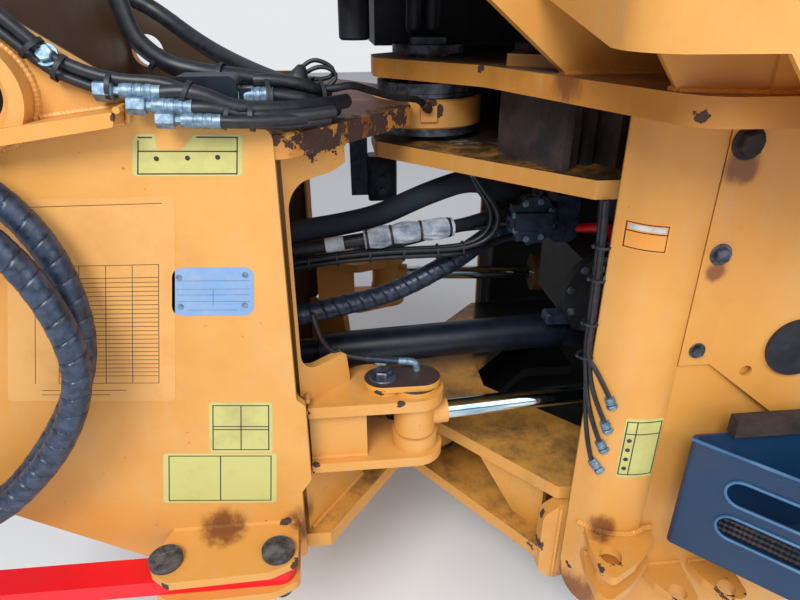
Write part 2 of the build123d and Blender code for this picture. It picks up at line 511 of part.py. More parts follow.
# Pump under the hinge plate: body, round cover with its boss, and hanger
PUMP_FRONT_X, PUMP_BACK_X = -315.0, -388.0
PUMP_BOTTOM, PUMP_TOP = 1048.0, 1172.0
PUMP_COVER_R = 60.0
pump_middle = (PUMP_BOTTOM + PUMP_TOP) / 2
pump = Pos((PUMP_FRONT_X + PUMP_BACK_X) / 2, 8, pump_middle) * Box(
    PUMP_FRONT_X - PUMP_BACK_X, 134, PUMP_TOP - PUMP_BOTTOM)
pump = chamfer(pump.edges().filter_by(Axis.Y), 14)
pump += Pos(-262, 78, 1116) * Rot(90, 0, 0) * Cylinder(PUMP_COVER_R, 36)
pump += Pos(-262, 100, 1116) * Box(98, 12, 44)
pump += Pos(-300, 68, 1116) * Box(40, 14, 90)
pump += Pos(-352, 0, (PUMP_TOP + HINGE_PLATE_BOTTOM) / 2) * Box(50, 90, HINGE_PLATE_BOTTOM - PUMP_TOP)
save("hinge_pump", pump)

# Hoses that cross the hinge, in two halves that leave room to turn: radius, height
# and side of each route's points, from its fitting to the gap on the hinge axis
HINGE_GAP = 30.0
FITTING_LENGTH = 40.0
front_start = CROSS_BACK_X - FITTING_LENGTH
rear_start = PUMP_FRONT_X + FITTING_LENGTH
FRONT_HOSES = (
    (19.0, [(front_start, 70, 1020), (470, 68, 1044), (333, 60, 1095), (201, 50, 1122), (HINGE_GAP, 35, 1160)]),
    (8.0, [(front_start, 25, 962), (500, 26, 966), (400, 29, 985), (300, 30, 1007), (200, 30, 1022),
           (115, 30, 1036), (HINGE_GAP, 26, 1055)]),
    (8.0, [(front_start, -15, 942), (500, -16, 946), (400, -19, 962), (300, -20, 987), (200, -20, 1002),
           (115, -18, 1015), (HINGE_GAP, -10, 1032)]),
    (20.0, [(front_start, 120, 868), (470, 118, 874), (333, 110, 889), (224, 80, 898), (120, 48, 900),
            (HINGE_GAP, 36, 930)]),
)
REAR_HOSES = (
    (19.0, [(rear_start, 0, 1150), (-215, 4, 1158), (-140, 22, 1188), (-85, 26, 1192), (-HINGE_GAP, 33, 1178)]),
    (8.0, [(rear_start, 42, 1096), (-225, 40, 1094), (-150, 32, 1084), (-90, 27, 1078), (-HINGE_GAP, 24, 1070)]),
    (8.0, [(rear_start, -38, 1096), (-225, -36, 1092), (-150, -26, 1072), (-90, -16, 1062), (-HINGE_GAP, -12, 1050)]),
    (20.0, [(rear_start, 2, 1076), (-220, 6, 1068), (-145, 20, 1024), (-90, 26, 990), (-HINGE_GAP, 34, 964)]),
)


def hose(points, radius):
    """A plain hose: straight runs joined by arcs as large as the runs allow."""
    bends = []
    for before, corner, after in zip(points, points[1:], points[2:]):
        run_in = Vector(*corner) - Vector(*before)
        run_out = Vector(*after) - Vector(*corner)
        half_turn = math.radians(run_in.get_angle(run_out)) / 2
        bends.append(0.45 * min(run_in.length, run_out.length) / math.tan(half_turn))
    path = FilletPolyline(*points, radius=bends)
    return sweep(Plane(origin=path @ 0, z_dir=path % 0) * Circle(radius), path=path)


def fitting(points, radius, seat_x):
    """The fitting between a hose's first point and the face it screws into, in the hose's direction."""
    start = Vector(*points[0])
    away = (start - Vector(*points[1])).normalized()
    barrel_length = abs(seat_x - start.X) + 10
    body = Plane(origin=start, z_dir=away) * Pos(0, 0, barrel_length / 2) * Cylinder(radius + 6, barrel_length)
    return body


front_fittings = [fitting(points, radius, CROSS_BACK_X) for radius, points in FRONT_HOSES]
rear_fittings = [fitting(points, radius, PUMP_FRONT_X) for radius, points in REAR_HOSES]
save("crossing_hoses_front", *[hose(points, radius) for radius, points in FRONT_HOSES])
save("crossing_hoses_rear", *[hose(points, radius) for radius, points in REAR_HOSES])
save("front_hose_fittings", *[body - cross for body in front_fittings])
save("rear_hose_fittings", *[body - pump for body in rear_fittings])

# Guarded hoses that hang in loops outside the left side plate, with their brackets
LOOP_R = 20.0
LOOPS = (
    [(900, 535, 1390), (800, 535, 1390), (700, 535, 1280), (668, 535, 1130), (690, 535, 1000), (780, 535, 850),
     (920, 535, 700), (1030, 535, 700)],
    [(900, 595, 1350), (800, 595, 1350), (705, 595, 1240), (662, 595, 1090), (685, 595, 975), (765, 595, 850),
     (910, 595, 720), (1030, 595, 720)],
)
save("loop_hoses", *[hose(points, LOOP_R) for points in LOOPS])
BRACKET_DEPTH = 135.0
bracket_y = SIDE_PLATE_Y + BRACKET_DEPTH / 2
upper_bracket = chamfer(Box(60, BRACKET_DEPTH, 110).edges().filter_by(Axis.Z), 12)
lower_bracket = chamfer(Box(60, BRACKET_DEPTH, 90).edges().filter_by(Axis.Z), 12)
save("loop_brackets", Pos(930, bracket_y, 1370) * upper_bracket, Pos(1060, bracket_y, 710) * lower_bracket)

# Junction block for the hoses, on the upper lug beside the side plate
block = Pos(428, 427, UPPER_LUG_TOP + 45) * Box(105, 70, 90)
block = fillet(block.edges().filter_by(Axis.Y), 14)
block += Pos(366, 430, UPPER_LUG_TOP + 35) * Box(22, 44, 70)
save("hose_junction_block", block)

# Frame lock: bracket, bar and its two pins on the left, and the lug behind the hinge
LOCK_INNER = LOCK_TOP - LOCK_PLATE_T
LOCK_ROWS = [
    (341, SIDE_PLATE_Y, 0), (612, SIDE_PLATE_Y, 0), (640, 570, 20), (633, 600, 15), (595, 630, 20), (391, 624, 40),
    (338, 599, 20)]
lock_bar_bottom = LOCK_INNER - 1 - LOCK_BAR_T
lock_bracket = flat_plate(LOCK_ROWS, LOCK_INNER, LOCK_PLATE_T)
lock_bracket += flat_plate(LOCK_ROWS, lock_bar_bottom - 1 - LOCK_PLATE_T, LOCK_PLATE_T)
lock_pin_xs = (LOCK_PIN_X, 607.0)
for x in lock_pin_xs:
    lock_bracket -= round_bar(x, LOCK_PIN_Y, LOCK_TOP - 200, 300, LOCK_PIN_R + 1)
save("lock_bracket", lock_bracket)
bar = Pos(LOCK_PIN_X + LOCK_PITCH / 2, LOCK_PIN_Y, lock_bar_bottom) * extrude(
    SlotCenterToCenter(LOCK_PITCH, 64), amount=LOCK_BAR_T)
bar -= round_bar(LOCK_PIN_X, LOCK_PIN_Y, lock_bar_bottom, LOCK_BAR_T, LOCK_PIN_R + 1)
bar -= round_bar(607, LOCK_PIN_Y, lock_bar_bottom, LOCK_BAR_T, LOCK_PIN_R + 1)
bar -= round_bar(LOCK_PIN_X + LOCK_PITCH, LOCK_PIN_Y, lock_bar_bottom, LOCK_BAR_T, LOCK_PIN_R + 1)
save("lock_bar", bar)
lock_pins = []
for x in lock_pin_xs:
    pin = round_bar(x, LOCK_PIN_Y, LOCK_TOP - 110, 110, LOCK_PIN_R)
    lock_pins.append(pin + round_bar(x, LOCK_PIN_Y, LOCK_TOP, 12, LOCK_HEAD_R))
save("lock_pins", *lock_pins)
LOCK_LUG_ROWS = [
    (-300, REAR_WALL_INNER_Y + 10, 0), (-290, 603, 10), (-290, 660, 12), (-308, 688, 15), (-370, 655, 15),
    (-439, 597, 15), (-450, REAR_WALL_INNER_Y + 10, 0)]
LOCK_LUG_TOP = 540.0
lock_lug = flat_plate(LOCK_LUG_ROWS, LOCK_LUG_TOP - 22, 22) + flat_plate(LOCK_LUG_ROWS, LOCK_LUG_TOP - 88, 22)
lock_lug -= round_bar(-326, LOCK_REAR_Y, 400, 200, LOCK_PIN_R + 1)
lock_lug -= extrude(Pos(0, 0, 400) * wall_plan, amount=200, dir=(0, 0, 1))
save("lock_lug", lock_lug)

# Tie-down lugs low on the left side wall
TIE_TOP, TIE_T, TIE_HOLE_R = 420.0, 25.0, 20.0
tie_lugs = []
for x in (-445, -560):
    tie = flat_plate([(x, REAR_WALL_Y, 0), (x - 12, 612, 8), (x - 42, 668, 25), (x - 88, 676, 25), (x - 96, REAR_WALL_Y, 0)],
                     TIE_TOP - TIE_T, TIE_T)
    tie_lugs.append(tie - round_bar(x - 50, 640, TIE_TOP - TIE_T, TIE_T, TIE_HOLE_R))
save("tie_down_lugs", *tie_lugs)

# Corners of the cab platform: closed shells with a slanted underside, rounded at
# the front, and the fender panels that hang from their outer sides
PLATFORM_TOP, PLATFORM_SHELL = 1700.0, 10.0
PLATFORM_SECTION = [
    (PLATFORM_SIDE_Y, 1555, 0), (781, 1557, 40), (543, 1609, 0), (440, 1640, 0), (440, PLATFORM_TOP, 0),
    (PLATFORM_SIDE_Y, PLATFORM_TOP, 0)]
section = outline(PLATFORM_SECTION)
platform_length = PLATFORM_FRONT_X - REAR_END
platform = extrude(Pos(REAR_END, 0, 0) * (Plane.YZ * section), amount=platform_length, dir=(1, 0, 0))
front_corner = platform.edges().filter_by(Axis.Z).sort_by_distance((PLATFORM_FRONT_X, PLATFORM_SIDE_Y, PLATFORM_TOP))[0]
platform = fillet(front_corner, 60)
hollow = extrude(Pos(REAR_END - 1, 0, 0) * (Plane.YZ * offset(section, -PLATFORM_SHELL)),
                 amount=platform_length + 1 - PLATFORM_SHELL, dir=(1, 0, 0))
inner_corner = hollow.edges().filter_by(Axis.Z).sort_by_distance((PLATFORM_FRONT_X, PLATFORM_SIDE_Y, PLATFORM_TOP))[0]
hollow = fillet(inner_corner, 50)
FENDER_T = 8.0
FENDER_ROWS = [
    (-262, 1556, 0), (-262, 1640, 0), (REAR_END, 1640, 0), (REAR_END, 1420, 0), (-700, 1420, 80), (-420, 1440, 80),
    (-300, 1510, 30)]
fender = upright_plate(FENDER_ROWS, PLATFORM_SIDE_Y - FENDER_T, FENDER_T)
platform_shell = platform - hollow + fender
save("cab_platforms", platform_shell, right(platform_shell))

# Cab floor with what hangs below it: heater box, filter and two rubber mounts
FLOOR_T = 32.0
floor = flat_plate([(215, 300, 60), (215, -300, 60), (60, -440, 0), (REAR_END, -440, 0), (REAR_END, 440, 0),
                    (60, 440, 0)], CAB_FLOOR_BOTTOM, FLOOR_T)
heater = Pos(-242, -260, (1512 + CAB_FLOOR_BOTTOM) / 2) * Box(715, 280, CAB_FLOOR_BOTTOM - 1512)
filter_can = chamfer(round_bar(169, 0, 1531, CAB_FLOOR_BOTTOM - 1531, 35).edges().filter_by(GeomType.CIRCLE), 5)
rubber_mounts = [
    round_bar(x, 0, 1560, CAB_FLOOR_BOTTOM - 1560, 19) + Pos(x, 0, 1560) * Sphere(19) for x in (32, -10)]
save("cab_floor", floor + heater + filter_can + rubber_mounts[0] + rubber_mounts[1])

# Cab supports on the top plate: a long brace on each side of the hinge and a
# bent plate beside each edge, cut to the platform above
BRACE_Y, BRACE_T = 426.0, 34.0
brace = upright_plate([(-171, TOP_PLATE_TOP, 0), (14, 1648, 0), (-700, 1648, 0), (-700, TOP_PLATE_TOP, 0)],
                      BRACE_Y, BRACE_T)
SUPPORT_T = 25.0
SUPPORT_TURN = 128.0
support = web_plate([(0, TOP_PLATE_TOP, 0), (-52, 1575, 0), (SUPPORT_TURN, 1575, 0), (SUPPORT_TURN, TOP_PLATE_TOP, 0)],
                    (-238, 700), (-0.966, 0.259), SUPPORT_T)
support += upright_plate([(-345, TOP_PLATE_TOP, 0), (-345, 1575, 0), (-700, 1575, 0), (-700, TOP_PLATE_TOP, 0)],
                         711, SUPPORT_T)
support = support - platform
brace = (brace - platform - floor).solids().sort_by(SortBy.VOLUME)[-1]
save("cab_supports", support, brace, right(support), right(brace))

# Step box on the left side, hollow, with two slots in its slanted face, a rail on
# its inner edge and brackets to the side wall
STEP_BOTTOM, STEP_TOP, STEP_WALL = 580.0, 848.0, 6.0
STEP_INNER_Y = 622.0
STEP_START = (-425.0, STEP_INNER_Y)
STEP_SLANT = 375.0
SLANT_X, SLANT_Y = STEP_START[0] - STEP_SLANT * 0.7071, STEP_START[1] + STEP_SLANT * 0.7071
step_rows = [(*STEP_START, 12), (SLANT_X, SLANT_Y, 30), (-1100, SLANT_Y, 0), (-1100, STEP_INNER_Y, 0)]
step = flat_plate(step_rows, STEP_BOTTOM, STEP_TOP - STEP_BOTTOM)
step_inner = [(STEP_START[0] - 14, STEP_INNER_Y + STEP_WALL, 8), (SLANT_X - 3, SLANT_Y - STEP_WALL, 26),
              (-1100 + STEP_WALL, SLANT_Y - STEP_WALL, 0), (-1100 + STEP_WALL, STEP_INNER_Y + STEP_WALL, 0)]
step -= flat_plate(step_inner, STEP_BOTTOM + STEP_WALL, STEP_TOP - STEP_BOTTOM)
slanted = Plane(origin=(*STEP_START, 0), x_dir=(-0.7071, 0.7071, 0), z_dir=(0.7071, 0.7071, 0))
for slot_middle, slot_height in ((768, 58), (683, 55)):
    slot = Pos(210, slot_middle) * SlotOverall(230, slot_height)
    step -= extrude(slanted * slot, amount=40, both=True)
rail = Pos(-800, STEP_INNER_Y + 6, STEP_TOP + 20) * Box(560, 26, 40)
step_brackets = [Pos(x, (REAR_WALL_Y + STEP_INNER_Y) / 2, 660) * Box(30, STEP_INNER_Y - REAR_WALL_Y, 80)
                 for x in (-560, -900)]
save("step_box", step)
save("step_brackets", rail, *step_brackets)
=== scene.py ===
import json
import math

import bpy
import numpy as np
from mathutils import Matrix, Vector


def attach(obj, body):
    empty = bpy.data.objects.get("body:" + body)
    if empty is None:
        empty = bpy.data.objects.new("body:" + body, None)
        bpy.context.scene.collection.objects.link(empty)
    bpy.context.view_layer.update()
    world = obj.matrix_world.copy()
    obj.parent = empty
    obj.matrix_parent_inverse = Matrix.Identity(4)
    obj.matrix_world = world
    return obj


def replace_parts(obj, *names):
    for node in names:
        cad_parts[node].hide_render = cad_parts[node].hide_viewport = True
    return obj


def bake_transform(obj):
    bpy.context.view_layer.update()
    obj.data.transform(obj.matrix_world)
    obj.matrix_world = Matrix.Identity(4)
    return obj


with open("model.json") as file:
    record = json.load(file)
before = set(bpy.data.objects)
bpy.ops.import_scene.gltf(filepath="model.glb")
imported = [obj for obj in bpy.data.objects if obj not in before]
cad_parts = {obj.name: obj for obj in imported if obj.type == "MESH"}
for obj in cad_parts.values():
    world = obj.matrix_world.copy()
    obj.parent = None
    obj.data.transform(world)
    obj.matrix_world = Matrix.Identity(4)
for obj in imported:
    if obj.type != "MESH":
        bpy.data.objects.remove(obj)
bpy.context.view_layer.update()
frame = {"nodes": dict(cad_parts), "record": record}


# Both frames are cut from thick plate, welded and sprayed machine orange. The paint
# is faded and dusty outside and chipped to rust at corners and rubbed spots; deep inside
# the machine it is turned near-black as painted shade. Every colour is worked out from the place on the part.
def add_node(look, kind, inputs=(), **settings):
    """A node of that kind in the material, with its inputs linked to sockets or set to values."""
    node = look.node_tree.nodes.new(kind)
    for key, value in settings.items():
        setattr(node, key, value)
    for key, value in dict(inputs).items():
        if isinstance(value, bpy.types.NodeSocket):
            look.node_tree.links.new(value, node.inputs[key])
        else:
            node.inputs[key].default_value = value
    return node


def noise(look, scale, detail=4.0, rough=0.6, stretch=(1, 1, 1)):
    """Noise of so many features to the metre, stretched per axis."""
    place = add_node(look, "ShaderNodeTexCoord").outputs["Object"]
    turned = add_node(look, "ShaderNodeMapping", {"Vector": place, "Scale": stretch}).outputs["Vector"]
    return add_node(look, "ShaderNodeTexNoise", {"Vector": turned, "Scale": scale, "Detail": detail,
                                                 "Roughness": rough}).outputs["Fac"]


def ramp(look, value, low, high):
    """0 at low, 1 at high, smooth between."""
    return add_node(look, "ShaderNodeMapRange", {"Value": value, "From Min": low, "From Max": high},
                    interpolation_type="SMOOTHSTEP").outputs["Result"]


def mix(look, amount, first, second):
    """first where amount is 0, second where it is 1; colours are (r, g, b)."""
    first = (*first, 1) if isinstance(first, tuple) else first
    second = (*second, 1) if isinstance(second, tuple) else second
    node = add_node(look, "ShaderNodeMix", data_type="RGBA")
    for index, value in ((0, amount), (6, first), (7, second)):
        if isinstance(value, bpy.types.NodeSocket):
            look.node_tree.links.new(value, node.inputs[index])
        else:
            node.inputs[index].default_value = value
    return node.outputs[2]


def combine(look, first, second, operation="MULTIPLY"):
    """The two values multiplied, or joined by another operation."""
    return add_node(look, "ShaderNodeMath", {0: first, 1: second}, operation=operation).outputs[0]


def at(x, y, z):
    """The part's place, in metres, of millimetres forward of the hinge, to the left and above the ground."""
    return Vector(((x + 1150) / 1000, y / 1000, (z - 850) / 1000))


def along(look, axis):
    """The place's X, Y or Z on the part, in metres."""
    place = add_node(look, "ShaderNodeTexCoord").outputs["Object"]
    return add_node(look, "ShaderNodeSeparateXYZ", {"Vector": place}).outputs[axis]


def weighed(look, x, x_weight, y, y_weight):
    """x times its weight, plus y times its weight."""
    return combine(look, combine(look, x, x_weight), combine(look, y, y_weight), "ADD")


def upward(look):
    """1 on faces that look up, 0 on upright ones."""
    normal = add_node(look, "ShaderNodeNewGeometry").outputs["True Normal"]
    return ramp(look, add_node(look, "ShaderNodeSeparateXYZ", {"Vector": normal}).outputs["Z"], 0.55, 0.85)


def near(look, spots):
    """1 at the middle of each spot (x, y, z, radius in mm), falling to 0 at its rim."""
    place = add_node(look, "ShaderNodeTexCoord").outputs["Object"]
    total = None
    for x, y, z, radius in spots:
        away = add_node(look, "ShaderNodeVectorMath", {0: place, 1: at(x, y, z)}, operation="DISTANCE")
        close = ramp(look, away.outputs["Value"], radius / 1000, 0.0)
        total = close if total is None else combine(look, total, close, "MAXIMUM")
    return total


def new_look(name, roughness=0.5, metallic=0.0):
    """A new material and its shader."""
    look = bpy.data.materials.new(name)
    look.use_nodes = True
    shader = look.node_tree.nodes["Principled BSDF"]
    shader.inputs["Roughness"].default_value = roughness
    shader.inputs["Metallic"].default_value = metallic
    return look, shader


def bump(look, shader, height, depth):
    """Bump of that depth in metres."""
    node = add_node(look, "ShaderNodeBump", {"Height": height, "Distance": depth, "Strength": 1.0})
    look.node_tree.links.new(node.outputs["Normal"], shader.inputs["Normal"])


RUST = ((0.026, 0.014, 0.014), (0.10, 0.046, 0.030))
PAINTED_SHADE_BLACK = (0.006, 0.0055, 0.005)


def paint_look(name, colour, faded, dust, grime, worn=(), stained=(), chips=0.0, settled=None, shade=None,
               rubbed=()):
    """Old machine paint: clouds of fading, dusty runs, oily grime, chips to rust near the
    worn spots, brown runs near the stained ones, pale scratches near the rubbed ones.
    settled is the colour and the share of dirt on faces that look up, and shade gives 1
    where painted shade turns the paint near-black."""
    look, shader = new_look(name, 0.42)
    clouds = ramp(look, noise(look, 2.2, 5), 0.35, 0.7)
    coat = mix(look, clouds, colour, faded)
    streaks = ramp(look, noise(look, 7.0, 5, 0.65, (3, 3, 0.5)), 0.50, 0.80)
    coat = mix(look, combine(look, streaks, 0.40), coat, dust)
    specks = ramp(look, noise(look, 75.0, 2, 0.5), 0.745, 0.775)
    coat = mix(look, combine(look, specks, 0.55), coat, (0.20, 0.09, 0.03))
    oily = combine(look, ramp(look, noise(look, 5.0, 8, 0.7), 0.50, 0.72), grime)
    coat = mix(look, oily, coat, (0.055, 0.032, 0.018))
    if settled:
        earth, share = settled
        lying = ramp(look, noise(look, 9.0, 8, 0.75), 0.72 - share * 0.55, 1.04 - share * 0.55)
        dark, light = (tuple(share_of * part for part in earth) for share_of in (0.5, 1.5))
        mottled = mix(look, noise(look, 55.0, 5), dark, light)
        coat = mix(look, combine(look, lying, upward(look)), coat, mottled)
    if rubbed:
        scratches = ramp(look, noise(look, 30.0, 6, 0.7, (1, 5, 1)), 0.50, 0.62)
        marks = combine(look, near(look, rubbed), scratches)
        coat = mix(look, combine(look, marks, 1.6), coat, (0.50, 0.42, 0.32))
    if stained:
        runs = combine(look, near(look, stained), noise(look, 45.0, 6, 0.7, (1, 1, 0.35)))
        coat = mix(look, ramp(look, runs, 0.12, 0.42), coat, (0.22, 0.075, 0.018))
    flaked = noise(look, 34.0, 7, 0.62)
    if worn:
        flaked = combine(look, flaked, combine(look, near(look, worn), 0.34), "ADD")
    bare = ramp(look, flaked, 0.775 - chips, 0.785 - chips)
    rust = mix(look, noise(look, 120.0, 4), *RUST)
    out = mix(look, bare, coat, rust)
    # Painted shade: where the shade mask is 1 the colour is mixed to near-black.
    if shade:
        out = mix(look, shade(look), out, PAINTED_SHADE_BLACK)
    look.node_tree.links.new(out, shader.inputs["Base Color"])
    rough = combine(look, combine(look, bare, 0.35), add_node(look, "ShaderNodeMapRange", {
        "Value": noise(look, 14.0, 5), "To Min": 0.32, "To Max": 0.56}).outputs["Result"], "ADD")
    look.node_tree.links.new(rough, shader.inputs["Roughness"])
    relief = combine(look, noise(look, 150.0, 2), combine(look, bare, -3.0), "ADD")
    bump(look, shader, relief, 0.0002)
    return look


def shaded_inside_walls(look):
    """Painted shade: 1 on the faces of the rear side walls that look into the machine, which turn
    near-black; neither the straight outer faces nor the slanted ones of the rolled noses."""
    across = combine(look, along(look, "Y"), 0.0, "ABSOLUTE")
    straight = ramp(look, across, 0.540, 0.552)
    rolled = ramp(look, weighed(look, along(look, "X"), 0.65, across, 0.76), 0.9445, 0.9545)
    return combine(look, 1.0, combine(look, straight, rolled, "MAXIMUM"), "SUBTRACT")


def shaded_inside_plates(look):
    """Painted shade: 1 on the faces of the front side plates that look into the machine."""
    across = combine(look, along(look, "Y"), 0.0, "ABSOLUTE")
    return combine(look, ramp(look, across, 0.474, 0.468), 0.93)


def shadowed_far_arm(look):
    """Painted shadow: 1 on the far arm of the fork, behind the notch, where the machine's own shadow falls.
    """
    behind = ramp(look, weighed(look, along(look, "X"), -0.9727, along(look, "Y"), 0.2322), -0.979, -0.967)
    return combine(look, behind, ramp(look, along(look, "Y"), -0.08, -0.12))


ORANGE, FADED, DUST = (0.62, 0.275, 0.050), (0.68, 0.345, 0.090), (0.52, 0.36, 0.19)
WORN_SPOTS = (
    (10, 60, 1478, 70), (-70, 270, 1490, 25), (-250, 740, 1478, 30), (-60, 300, 1470, 30),
    (62, -41, 1480, 30), (77, 283, 1470, 28), (22, 155, 1480, 26),
    (238, 432, 1398, 150), (170, 360, 1395, 160), (105, 292, 1395, 150), (68, 222, 1392, 130),
    (-221, 480, 430, 60), (-225, 480, 520, 30), (-335, 640, 540, 52), (-290, 660, 540, 36),
    (640, 570, 565, 35), (595, 630, 560, 30), (338, 599, 560, 40), (372, 490, 566, 30), (345, 500, 640, 18),
    (72, 338, 835, 45), (260, 360, 835, 40), (300, 462, 700, 30), (110, 462, 850, 22), (-180, 60, 600, 40),
    (323, 480, 1400, 20), (545, 545, 1450, 16), (-480, 662, 420, 52), (-607, 650, 420, 72),
    (-414, 560, 1010, 18), (306, 470, 884, 14), (0, 130, 1400, 60), (-290, 520, 400, 30), (150, 430, 862, 26))
STAINED_SPOTS = (
    (-155, 503, 1490, 70), (-110, 690, 1490, 60), (-451, 566, 1360, 60), (-451, 566, 1170, 40),
    (-326, 570, 560, 60), (150, 330, 1412, 130), (330, 478, 560, 90), (500, 500, 575, 90),
    (-300, 545, 330, 110))
MACHINE = (ORANGE, FADED, DUST)
WEAR = (WORN_SPOTS, STAINED_SPOTS)
frame_paint = paint_look("machine_paint", *MACHINE, 0.10, *WEAR, settled=((0.30, 0.17, 0.07), 0.22))
# The wall paint turns near-black on the walls' inner faces: painted shade.
wall_paint = paint_look("wall_paint", *MACHINE, 0.05, *WEAR, shade=shaded_inside_walls)
# The side plate paint is darkened on the plates' inner faces: painted shade.
plate_paint = paint_look("plate_paint", *MACHINE, 0.10, *WEAR, shade=shaded_inside_plates)
top_paint = paint_look("top_plate_paint", (0.50, 0.20, 0.03), (0.58, 0.26, 0.05), DUST, 0.25, *WEAR,
                       settled=((0.15, 0.12, 0.09), 0.75))
lug_paint = paint_look("lug_paint", (0.55, 0.22, 0.035), (0.60, 0.27, 0.05), DUST, 0.5, *WEAR,
                       chips=0.05, settled=((0.105, 0.050, 0.034), 0.95))
# The fork's far arm is painted near-black: painted shadow.
fork_paint = paint_look("fork_paint", (0.60, 0.27, 0.045), (0.64, 0.31, 0.06), (0.34, 0.21, 0.09), 0.30,
                        *WEAR, chips=0.03, settled=((0.20, 0.11, 0.040), 0.62), shade=shadowed_far_arm)
hinge_paint = paint_look("hinge_plate_paint", (0.46, 0.20, 0.034), (0.52, 0.25, 0.05), DUST, 0.25,
                         WORN_SPOTS, chips=0.02, settled=((0.030, 0.020, 0.011), 0.85),
                         rubbed=((20, 70, 1320, 70), (-60, 130, 1320, 60), (40, -60, 1320, 50)))
cap_paint = paint_look("cap_paint", (0.62, 0.30, 0.05), (0.70, 0.34, 0.06), DUST, 0.2, WORN_SPOTS,
                       chips=0.07, settled=((0.050, 0.028, 0.027), 1.2))
# A dark brown copy of the orange paint for parts inside the frame: painted shade, plus grime and chips.
shaded_inner_paint = paint_look("shaded_inner_paint", (0.11, 0.048, 0.014), (0.075, 0.032, 0.010), (0.07, 0.04, 0.02),
                         0.8, chips=0.04)
step_paint = paint_look("step_blue", (0.003, 0.028, 0.080), (0.006, 0.038, 0.100), (0.010, 0.045, 0.10),
                        0.20)
lock_red = paint_look("lock_red", (0.74, 0.0, 0.010), (0.76, 0.0, 0.012), (0.60, 0.004, 0.014), 0.10,
                      ((607, 575, 540, 50), (379, 575, 540, 50)))


def metal_look(name, dark, light, roughness, metallic, scale=40.0, relief=0.0002, stretch=(1, 1, 1)):
    """Bare or dark metal, mottled between two tones."""
    look, shader = new_look(name, roughness, metallic)
    tone = mix(look, ramp(look, noise(look, scale, 6, 0.65, stretch), 0.35, 0.68), dark, light)
    look.node_tree.links.new(tone, shader.inputs["Base Color"])
    bump(look, shader, noise(look, scale * 4, 4), relief)
    return look


bare_steel = metal_look("greasy_steel", (0.035, 0.037, 0.045), (0.14, 0.16, 0.21), 0.42, 0.6)
# The chrome's blue tones and streaks along the rod are painted reflection of sky and dark surroundings.
sky_tinted_chrome = metal_look("chrome_with_painted_reflection", (0.24, 0.38, 0.45), (0.62, 0.76, 0.82), 0.09, 1.0, 30.0, 0.00001,
                        (0.25, 1, 1))
shaft_black = metal_look("shaft_black", (0.003, 0.006, 0.012), (0.008, 0.016, 0.034), 0.38, 0.1, 22.0)
casting = metal_look("grey_casting", (0.003, 0.003, 0.0035), (0.009, 0.010, 0.012), 0.6, 0.1, 18.0, 0.0006)
rusty_plate = metal_look("rusty_plate", (0.010, 0.009, 0.010), (0.050, 0.030, 0.025), 0.8, 0.0, 12.0, 0.0008)
black_plastic = metal_look("black_plastic", (0.008, 0.009, 0.014), (0.018, 0.020, 0.030), 0.5, 0.0, 30.0)
zinc = metal_look("dull_zinc", (0.10, 0.17, 0.24), (0.26, 0.36, 0.46), 0.45, 0.55, 90.0)
rubber = metal_look("hose_rubber", (0.005, 0.006, 0.009), (0.014, 0.017, 0.025), 0.42, 0.0, 60.0, 0.0001)
pump_grey = metal_look("pump_grey", (0.012, 0.020, 0.040), (0.032, 0.052, 0.095), 0.40, 0.3, 45.0, 0.0004)
# Near-black stand-in for deep shade: painted shadow on the belly plate, the hinge box back and the output
# flange.
shadow_black = metal_look("painted_shadow_black", (0.003, 0.003, 0.003), (0.010, 0.009, 0.009), 0.55, 0.0, 9.0, 0.0008)
FINISHES = {"paint": frame_paint, "blue_paint": step_paint, "red_paint": lock_red, "bare_steel": bare_steel,
            "chrome": sky_tinted_chrome, "dark_steel": shaft_black, "grey_casting": casting, "rust": rusty_plate,
            "black_plastic": black_plastic, "zinc": zinc, "hose": rubber}
OTHER_PAINT = {"rear_side_walls": wall_paint, "rear_top_plate": top_paint, "rear_hinge_plate": hinge_paint,
               "lower_fork": fork_paint, "front_lower_lug": fork_paint, "front_side_plates": plate_paint,
               "front_upper_lug": lug_paint, "clevis_caps": cap_paint, "hinge_pump": pump_grey,
               "front_cross_plate": shaded_inner_paint, "cylinder_brackets": shaded_inner_paint,
               "steering_barrel_left": shaded_inner_paint, "steering_barrel_right": shaded_inner_paint,
               "hinge_box_back": shadow_black, "output_flange": shadow_black}
for row in frame["record"]["subparts"]:
    node = frame["nodes"][row["node"]]
    node.data.materials.clear()
    node.data.materials.append(OTHER_PAINT.get(row["node"], FINISHES[row["material_slot"]]))


# The plates are joined by hand-laid fillet welds, painted over with the frame. Each
# bead is a tube along the seam whose radius swells and shrinks every few millimetres.
def line_through(points):
    """Points along the smooth line that has these as its control points, in millimetres."""
    curve = bpy.data.curves.new("line", "CURVE")
    curve.dimensions = "3D"
    spline = curve.splines.new("NURBS")
    spline.points.add(len(points) - 1)
    for control, point in zip(spline.points, points):
        control.co = (*point, 1)
    spline.order_u = 3
    spline.use_endpoint_u = True
    spline.resolution_u = 10
    holder = bpy.data.objects.new("line", curve)
    mesh = bpy.data.meshes.new_from_object(holder)
    line = np.array([vertex.co for vertex in mesh.vertices])
    bpy.data.objects.remove(holder)
    bpy.data.meshes.remove(mesh)
    return line


def spaced(line, step):
    """The same line with a point every step millimetres, and how far along it each point is."""
    line = np.asarray(line, float)
    run = np.concatenate([[0], np.cumsum(np.linalg.norm(np.diff(line, axis=0), axis=1))])
    count = max(2, int(run[-1] / step) + 1)
    stops = np.linspace(0, run[-1], count)
    return np.stack([np.interp(stops, run, line[:, axis]) for axis in range(3)], axis=1), stops


